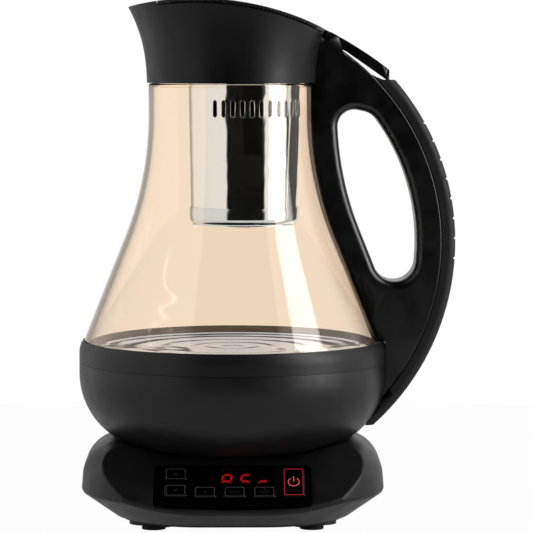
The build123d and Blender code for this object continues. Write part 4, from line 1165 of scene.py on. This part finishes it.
@dataclass
class ControlPanel:
    """The panel's keys with their printed frames and signs, and the display."""

    line: float = 0.35 * MM
    frame_inset: float = 0.5 * MM
    corner: float = 1.0 * MM
    corner_steps: int = 5
    thick: float = 0.06 * MM
    sunk: float = 0.03 * MM
    face_depth: float = 0.01 * MM
    arc_steps: int = 20
    sharp: float = 30.0
    arrow_wide: float = 2.6 * MM
    arrow_low_share: float = 0.6
    dot_share: float = 0.5
    dot_sides: int = 12
    cup_radius: float = 2.3 * MM
    cup_lift_share: float = 0.35
    steam_share: float = 0.2
    power_radius: float = 2.9 * MM
    power_line: float = 0.38 * MM
    power_span: Pair = (125.0, 415.0)
    power_bar_shares: Pair = (0.1, 1.35)

    def slope(self, shop: Workshop) -> Matrix:
        """Turn of the sloping panel, from the direction in which its keys move.

        Args:
            shop: The frame's joints.

        Returns:
            A turn that takes +Z to the panel's outward normal and keeps +X.
        """
        axis = Vector(next(j["axis"] for j in shop.joints if j["child"] == "power_key"))
        out = -axis.normalized()
        across = Vector((1.0, 0.0, 0.0))
        return Matrix((across, out.cross(across), out)).transposed()

    def key_face(self, node: Piece, slope: Matrix) -> tuple[Vector, float, float]:
        """Find a key's top face.

        Args:
            node: The key.
            slope: The panel's turn.

        Returns:
            The face's centre, its width and its height.
        """
        local = [slope.inverted() @ v.co for v in node.data.vertices]
        top = max(p.z for p in local)
        face = [p for p in local if p.z > top - self.face_depth]
        low = Vector((min(p.x for p in face), min(p.y for p in face), top))
        high = Vector((max(p.x for p in face), max(p.y for p in face), top))
        return slope @ ((low + high) / 2), high.x - low.x, high.y - low.y

    def rounded(self, wide: float, high: float, inset: float) -> Profile:
        """Give the outline of a frame about the origin, with rounded corners.

        Args:
            wide: The frame's outer width.
            high: The frame's outer height.
            inset: How far inside the frame's outer edge the outline is.

        Returns:
            The outline's points.
        """
        corner = self.corner - inset
        points: Profile = []
        for k, (sx, sy) in enumerate(((1, 1), (-1, 1), (-1, -1), (1, -1))):
            centre = (sx * (wide / 2 - self.corner), sy * (high / 2 - self.corner))
            points += arc(centre, corner, 90 * k, 90 * (k + 1), self.corner_steps)
        return points

    def layers(self, shape: Shape, outline: Profile) -> tuple[list, list]:
        """Set an outline just under the key's face and again above it.

        Args:
            shape: The mesh to add to.
            outline: The outline.

        Returns:
            The lower and the upper corners.
        """
        heights = (-self.sunk, self.thick - self.sunk)
        low, top = ([shape.verts.new((x, y, z)) for x, y in outline] for z in heights)
        return low, top

    def band(self, shape: Shape, outer: Profile, inner: Profile, closed: bool) -> None:
        """Add a raised band between two outlines.

        Args:
            shape: The mesh to add to.
            outer: One edge of the band.
            inner: The other edge, with as many points.
            closed: Whether the band joins up.
        """
        low_out, top_out = self.layers(shape, outer)
        low_in, top_in = self.layers(shape, inner)
        count = len(outer)
        for i in range(count if closed else count - 1):
            j = (i + 1) % count
            shape.faces.new((top_out[i], top_out[j], top_in[j], top_in[i]))
            shape.faces.new((low_out[i], low_in[i], low_in[j], low_out[j]))
            shape.faces.new((low_out[i], low_out[j], top_out[j], top_out[i]))
            shape.faces.new((low_in[i], top_in[i], top_in[j], low_in[j]))
        if not closed:
            for i in (0, count - 1):
                shape.faces.new((low_out[i], top_out[i], top_in[i], low_in[i]))

    def plate(self, shape: Shape, outline: Profile) -> None:
        """Add a raised plate.

        Args:
            shape: The mesh to add to.
            outline: The plate's outline.
        """
        low, top = self.layers(shape, outline)
        shape.faces.new(top)
        shape.faces.new(low[::-1])
        for i in range(len(outline)):
            j = (i + 1) % len(outline)
            shape.faces.new((low[i], low[j], top[j], top[i]))

    def bar(self, shape: Shape, half: float, low: float, high: float) -> None:
        """Add a raised bar of a half width, between two heights."""
        self.plate(shape, [(-half, low), (half, low), (half, high), (-half, high)])

    def curved_band(self, shape: Shape, lift: float, radius: float, span: Pair, line: float) -> None:
        """Add a raised arc of a line's width.

        Args:
            shape: The mesh to add to.
            lift: The height of the arc's centre.
            radius: Its middle radius.
            span: First and last angle, in degrees.
            line: Its width.
        """
        outer = arc((0.0, lift), radius + line / 2, *span, self.arc_steps)
        inner = arc((0.0, lift), radius - line / 2, *span, self.arc_steps)
        self.band(shape, outer, inner, closed=False)

    def draw_sign(self, shape: Shape, mark: Mark) -> None:
        """Draw a key's sign about the origin.

        Args:
            shape: The mesh to add to.
            mark: Which sign.
        """
        half = self.arrow_wide / 2
        if mark in (Mark.UP, Mark.DOWN):
            way = 1 if mark is Mark.UP else -1
            low = -way * half * self.arrow_low_share
            self.plate(shape, [(-half, low), (half, low), (0.0, way * half)][::way])
        elif mark is Mark.DOT:
            side = 360 / self.dot_sides
            self.plate(shape, arc((0.0, 0.0), half * self.dot_share, 0, 360 - side, self.dot_sides - 1))
        elif mark is Mark.POWER:
            radius, line = self.power_radius, self.power_line
            self.curved_band(shape, 0.0, radius, self.power_span, line)
            self.bar(shape, line / 2, *(radius * share for share in self.power_bar_shares))
        else:
            radius, line = self.cup_radius, self.line
            self.curved_band(shape, radius * self.cup_lift_share, radius, (180, 360), line)
            self.bar(shape, radius, 0.0, line)
            if mark is Mark.STEAMING_CUP:
                self.bar(shape, half * self.steam_share, half, 2 * half)

    def piece(self, name: str, shape: Shape, place: Matrix) -> Piece:
        """Set a drawn frame or sign on its key's face.

        Args:
            name: The piece's name.
            shape: The mesh, drawn about the origin.
            place: The key face's place.

        Returns:
            The piece.
        """
        bmesh.ops.recalc_face_normals(shape, faces=shape.faces)
        shape.transform(place)
        return smooth_piece(name, shape, self.sharp)

    def print_key(self, shop: Workshop, mark: Mark, slope: Matrix) -> None:
        """Print a key's frame and sign.

        Args:
            shop: The workshop.
            mark: The key's sign.
            slope: The panel's turn.
        """
        name = mark.value
        lit = mark is Mark.POWER
        centre, wide, high = self.key_face(shop.nodes[name], slope)
        place = Matrix.Translation(centre) @ slope.to_4x4()
        wide -= 2 * self.frame_inset
        high -= 2 * self.frame_inset
        frame, sign = bmesh.new(), bmesh.new()
        outer, inner = (self.rounded(wide, high, inset) for inset in (0.0, self.line))
        self.band(frame, outer, inner, closed=True)
        self.draw_sign(sign, mark)
        framed = self.piece(f"{name}_frame", frame, place)
        shop.fit(framed, POWER_FRAME_RED if lit else KEY_PRINT, name)
        signed = self.piece(f"{name}_sign", sign, place)
        shop.fit(signed, POWER_SIGN_RED if lit else KEY_FAINT, name)

    def dress(self, shop: Workshop) -> None:
        """Finish panel, lens, display and keys, and print the keys.

        Args:
            shop: The workshop.
        """
        shop.dress(PANEL_GLOSS, "control_panel")
        shop.dress(SMOKED_LENS, "display_lens")
        shop.dress(MODULE_DARK, "display_module")
        shop.dress(DIGIT_RED, "display_digits")
        slope = self.slope(shop)
        for mark in Mark:
            shop.dress(KEY_BLACK, mark.value)
            self.print_key(shop, mark, slope)


@dataclass
class Jug:
    """Glass, bowl, ring, heater, collar, handle, lever, lid and infuser, in their finishes."""

    glass: GlassBody = field(default_factory=GlassBody)
    plate: HeaterPlate = field(default_factory=HeaterPlate)
    rims: SlotRims = field(default_factory=SlotRims)
    grip_wide_share: float = 0.948

    def dress(self, shop: Workshop) -> None:
        """Finish the jug's solids, and make its glass, plate and rims.

        Args:
            shop: The workshop.
        """
        self.glass.dress(shop)
        shop.polish(BOWL_BLACK, "bowl")
        shop.polish(RING_BLACK, "clamp_ring")
        shop.polish(COLLAR_BLACK, "collar", "lid_top")
        shop.polish(HANDLE_GLOSS, "handle_body", "lid_lever")
        shop.polish(GRIP_SOFT, "handle_grip", wide_share=self.grip_wide_share)
        shop.polish(MIRROR_STEEL, "infuser_body")
        shop.polish(CAP_STEEL, "infuser_base")
        shop.polish(MESH_STEEL, "infuser_mesh")
        shop.dress(COLLAR_BLACK, "infuser_cradle")
        shop.dress(INNER_BLACK, "infuser_rim", "jug_connector", "thermal_cutouts")
        shop.dress(LINER_STEEL, "lid_liner")
        shop.dress(SEAL_GREY, "heater_seal")
        shop.dress(SILICONE, "collar_seal", "lid_seal")
        shop.dress(ALUMINIUM, "heat_spreader")
        shop.dress(CONTACT_ALLOY, "jug_contacts")
        shop.dress(SATIN_STEEL, "heating_element", "temperature_probe", "connector_screws")
        shop.dress(SATIN_STEEL, "handle_screws", "lid_pin", "lever_spring")
        self.plate.dress(shop)
        self.rims.dress(shop)


@dataclass
class Base:
    """The powered base, in its finishes."""

    screws: CoverScrews = field(default_factory=CoverScrews)

    def dress(self, shop: Workshop) -> None:
        """Finish the base's solids and make its screws.

        Args:
            shop: The workshop.
        """
        shop.polish(BASE_BLACK, "base_shell")
        shop.dress(BASE_BLACK, "base_bottom")
        shop.dress(FOOT_RUBBER, "base_feet")
        shop.dress(INNER_BLACK, "cord_gland", "base_coupler", "tact_switches", "supply_transformer")
        shop.dress(SATIN_STEEL, "board_screws")
        shop.dress(CONTACT_ALLOY, "base_contacts")
        shop.dress(BOARD_GREEN, "control_board", "power_board")
        shop.dress(RELAY_BLUE, "heater_relay")
        shop.dress(ALUMINIUM, "supply_capacitor")
        self.screws.dress(shop)


@dataclass
class Studio:
    """White surroundings with a dark opening in front and above, a strip of light and the camera.

    Bearings are in degrees, with 0 in front of the tea maker and the right positive.
    """

    camera_place: Triple = (0.00196, -1.6541, 0.2605)
    pitch: float = 4.229
    yaw: float = 0.574
    lens: float = 204.2
    sensor: float = 36.0
    floor_radius: float = 0.55
    floor_segments: int = 128
    floor_white: float = 0.86
    floor_glow_share: float = 0.97
    floor_mirror_share: float = 0.5
    surround: float = 1.0
    dark: float = 0.004
    dark_span: Pair = (-39.0, 45.0)
    dark_edge: float = 4.0
    grey_span: Pair = (-172.0, -132.0)
    grey_edge: float = 16.0
    grey_share: float = 0.55
    ceiling_span: Pair = (0.72, 0.9)
    matt_light: float = 0.85
    first_mirror: float = 0.5
    second_mirror: float = 1.5
    second_share: float = 0.12
    strip_turn: float = 65.0
    strip_reach: float = 1.3
    strip_z: float = 0.85
    strip_size: Pair = (0.55, 1.7)
    strip_bright: float = 7.0

    def camera(self) -> None:
        """Set the camera at the photograph's viewpoint."""
        data = bpy.data.cameras.new("camera")
        data.lens = self.lens
        data.sensor_width = self.sensor
        viewer = bpy.data.objects.new("camera", data)
        viewer.location = self.camera_place
        viewer.rotation_euler = Euler((math.radians(90 - self.pitch), 0.0, -math.radians(self.yaw)))
        bpy.context.scene.collection.objects.link(viewer)
        bpy.context.scene.camera = viewer

    def second(self, nodes: Nodes, path: Sockets) -> tuple[Socket, Socket]:
        """Dim what shows in a second reflection.

        Args:
            nodes: The nodes of the floor or of the surroundings.
            path: What the light path gives.

        Returns:
            1 for a ray that was mirrored twice and 0 for others, and the share of light for each.
        """
        twice = nodes.sum("GREATER_THAN", path["Glossy Depth"], self.second_mirror)
        return twice, nodes.sum("MULTIPLY_ADD", twice, self.second_share - 1.0, 1.0)

    def floor(self) -> None:
        """Lay a round white floor that keeps a faint shadow."""
        shape = bmesh.new()
        bmesh.ops.create_circle(
            shape, cap_ends=True, segments=self.floor_segments, radius=self.floor_radius
        )
        mesh = bpy.data.meshes.new("floor")
        shape.to_mesh(mesh)
        shape.free()
        new_piece("floor", mesh)
        shader = Shader("floor_white")
        path = shader.node("ShaderNodeLightPath").outputs
        seen = shader.sum("MAXIMUM", path["Is Camera Ray"], path["Is Transmission Ray"])
        straight = shader.sum("MULTIPLY", seen, self.floor_glow_share)
        mirrored = shader.sum("MULTIPLY", path["Is Glossy Ray"], self.floor_mirror_share)
        twice, level = self.second(shader, path)
        share = shader.sum("MAXIMUM", shader.sum("MAXIMUM", straight, mirrored), twice)
        matte = shader.add("ShaderNodeBsdfDiffuse", {"Color": opaque(tinted(WHITE, self.floor_white))})
        glow = shader.add("ShaderNodeEmission", {"Color": opaque(WHITE), "Strength": level})
        mixed = shader.node("ShaderNodeMixShader")
        for source, socket in zip((share, matte, glow), mixed.inputs):
            shader.link(source, socket)
        shader.link(mixed.outputs[0], shader.output["Surface"])
        mesh.materials.append(shader.material)

    def ramp(self, nodes: Nodes, value: Socket, low: float, high: float) -> Socket:
        """Rise smoothly from 0 to 1 between two values.

        Args:
            nodes: The nodes of the surroundings.
            value: The number that rises.
            low: Where the result is 0.
            high: Where it is 1.

        Returns:
            The result.
        """
        ends: Values = {"Value": value, "From Min": low, "From Max": high}
        return nodes.add("ShaderNodeMapRange", ends, interpolation_type="SMOOTHSTEP")

    def window(self, nodes: Nodes, bearing: Socket, span: Pair, soft: float) -> Socket:
        """Mark the directions between two bearings.

        Args:
            nodes: The nodes of the surroundings.
            bearing: The bearing of a direction, in radians.
            span: First and last bearing, in degrees.
            soft: How wide its edges are, in degrees.

        Returns:
            1 between them and 0 outside.
        """
        left, right = (math.radians(end) for end in span)
        edge = math.radians(soft)
        rise = self.ramp(nodes, bearing, left, left + edge)
        fall = self.ramp(nodes, bearing, right, right - edge)
        return nodes.sum("MULTIPLY", rise, fall)

    def surroundings(self) -> None:
        """Make a white room with a dark ceiling, a dark opening in front and a grey one at the left."""
        world = bpy.data.worlds.new("studio")
        world.use_nodes = True
        nodes = Nodes(world.node_tree)
        direction = nodes.node("ShaderNodeTexCoord").outputs["Generated"]
        way = nodes.node("ShaderNodeSeparateXYZ", {"Vector": direction}).outputs
        bearing = nodes.sum("ARCTAN2", way["X"], nodes.sum("MULTIPLY", way["Y"], -1.0))
        ceiling = self.ramp(nodes, way["Z"], *self.ceiling_span)
        front = self.window(nodes, bearing, self.dark_span, self.dark_edge)
        side = self.window(nodes, bearing, self.grey_span, self.grey_edge)
        gap = nodes.sum("MAXIMUM", ceiling, front)
        gap = nodes.sum("MAXIMUM", gap, nodes.sum("MULTIPLY", side, self.grey_share))
        seen = nodes.sum("MULTIPLY_ADD", gap, self.dark - self.surround, self.surround)
        path = nodes.node("ShaderNodeLightPath").outputs
        level = nodes.sum("MULTIPLY_ADD", path["Is Diffuse Ray"], self.matt_light - 1.0, 1.0)
        level = nodes.sum("MULTIPLY", level, self.second(nodes, path)[1])
        lit = nodes.sum("MULTIPLY", seen, level)
        unmirrored = nodes.sum("LESS_THAN", path["Glossy Depth"], self.first_mirror)
        through = nodes.sum("MULTIPLY", path["Is Transmission Ray"], unmirrored)
        straight = nodes.sum("MAXIMUM", path["Is Camera Ray"], through)
        strength = nodes.sum("MAXIMUM", lit, straight)
        light = nodes.add("ShaderNodeBackground", {"Color": opaque(WHITE), "Strength": strength})
        nodes.link(light, nodes.node("ShaderNodeOutputWorld").inputs["Surface"])
        bpy.context.scene.world = world

    def strip(self) -> None:
        """Hang a tall strip of light at the right, for reflections alone."""
        data = bpy.data.lights.new("strip_right", "AREA")
        data.shape = "RECTANGLE"
        data.size, data.size_y = self.strip_size
        data.energy = self.strip_bright * math.pi * data.size * data.size_y
        turn = math.radians(self.strip_turn)
        outward = Vector((math.sin(turn), -math.cos(turn), 0.0))
        box = bpy.data.objects.new("strip_right", data)
        box.location = self.strip_reach * outward + Vector((0.0, 0.0, self.strip_z))
        box.rotation_euler = (-outward).to_track_quat("-Z", "Y").to_euler()
        box.visible_camera = False
        box.visible_diffuse = False
        bpy.context.scene.collection.objects.link(box)

    def build(self) -> None:
        """Set up camera, floor, surroundings and light."""
        bpy.context.scene.view_settings.view_transform = "Standard"
        self.camera()
        self.floor()
        self.surroundings()
        self.strip()


def main() -> None:
    """Load the frame, finish every piece and set up the studio."""
    logging.basicConfig(level=logging.INFO, format="%(name)s: %(message)s")
    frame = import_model()
    shop = Workshop(frame)
    for assembly in (Jug(), Base(), ControlPanel()):
        assembly.dress(shop)
    Studio().build()


if __name__ == "__main__":
    main()
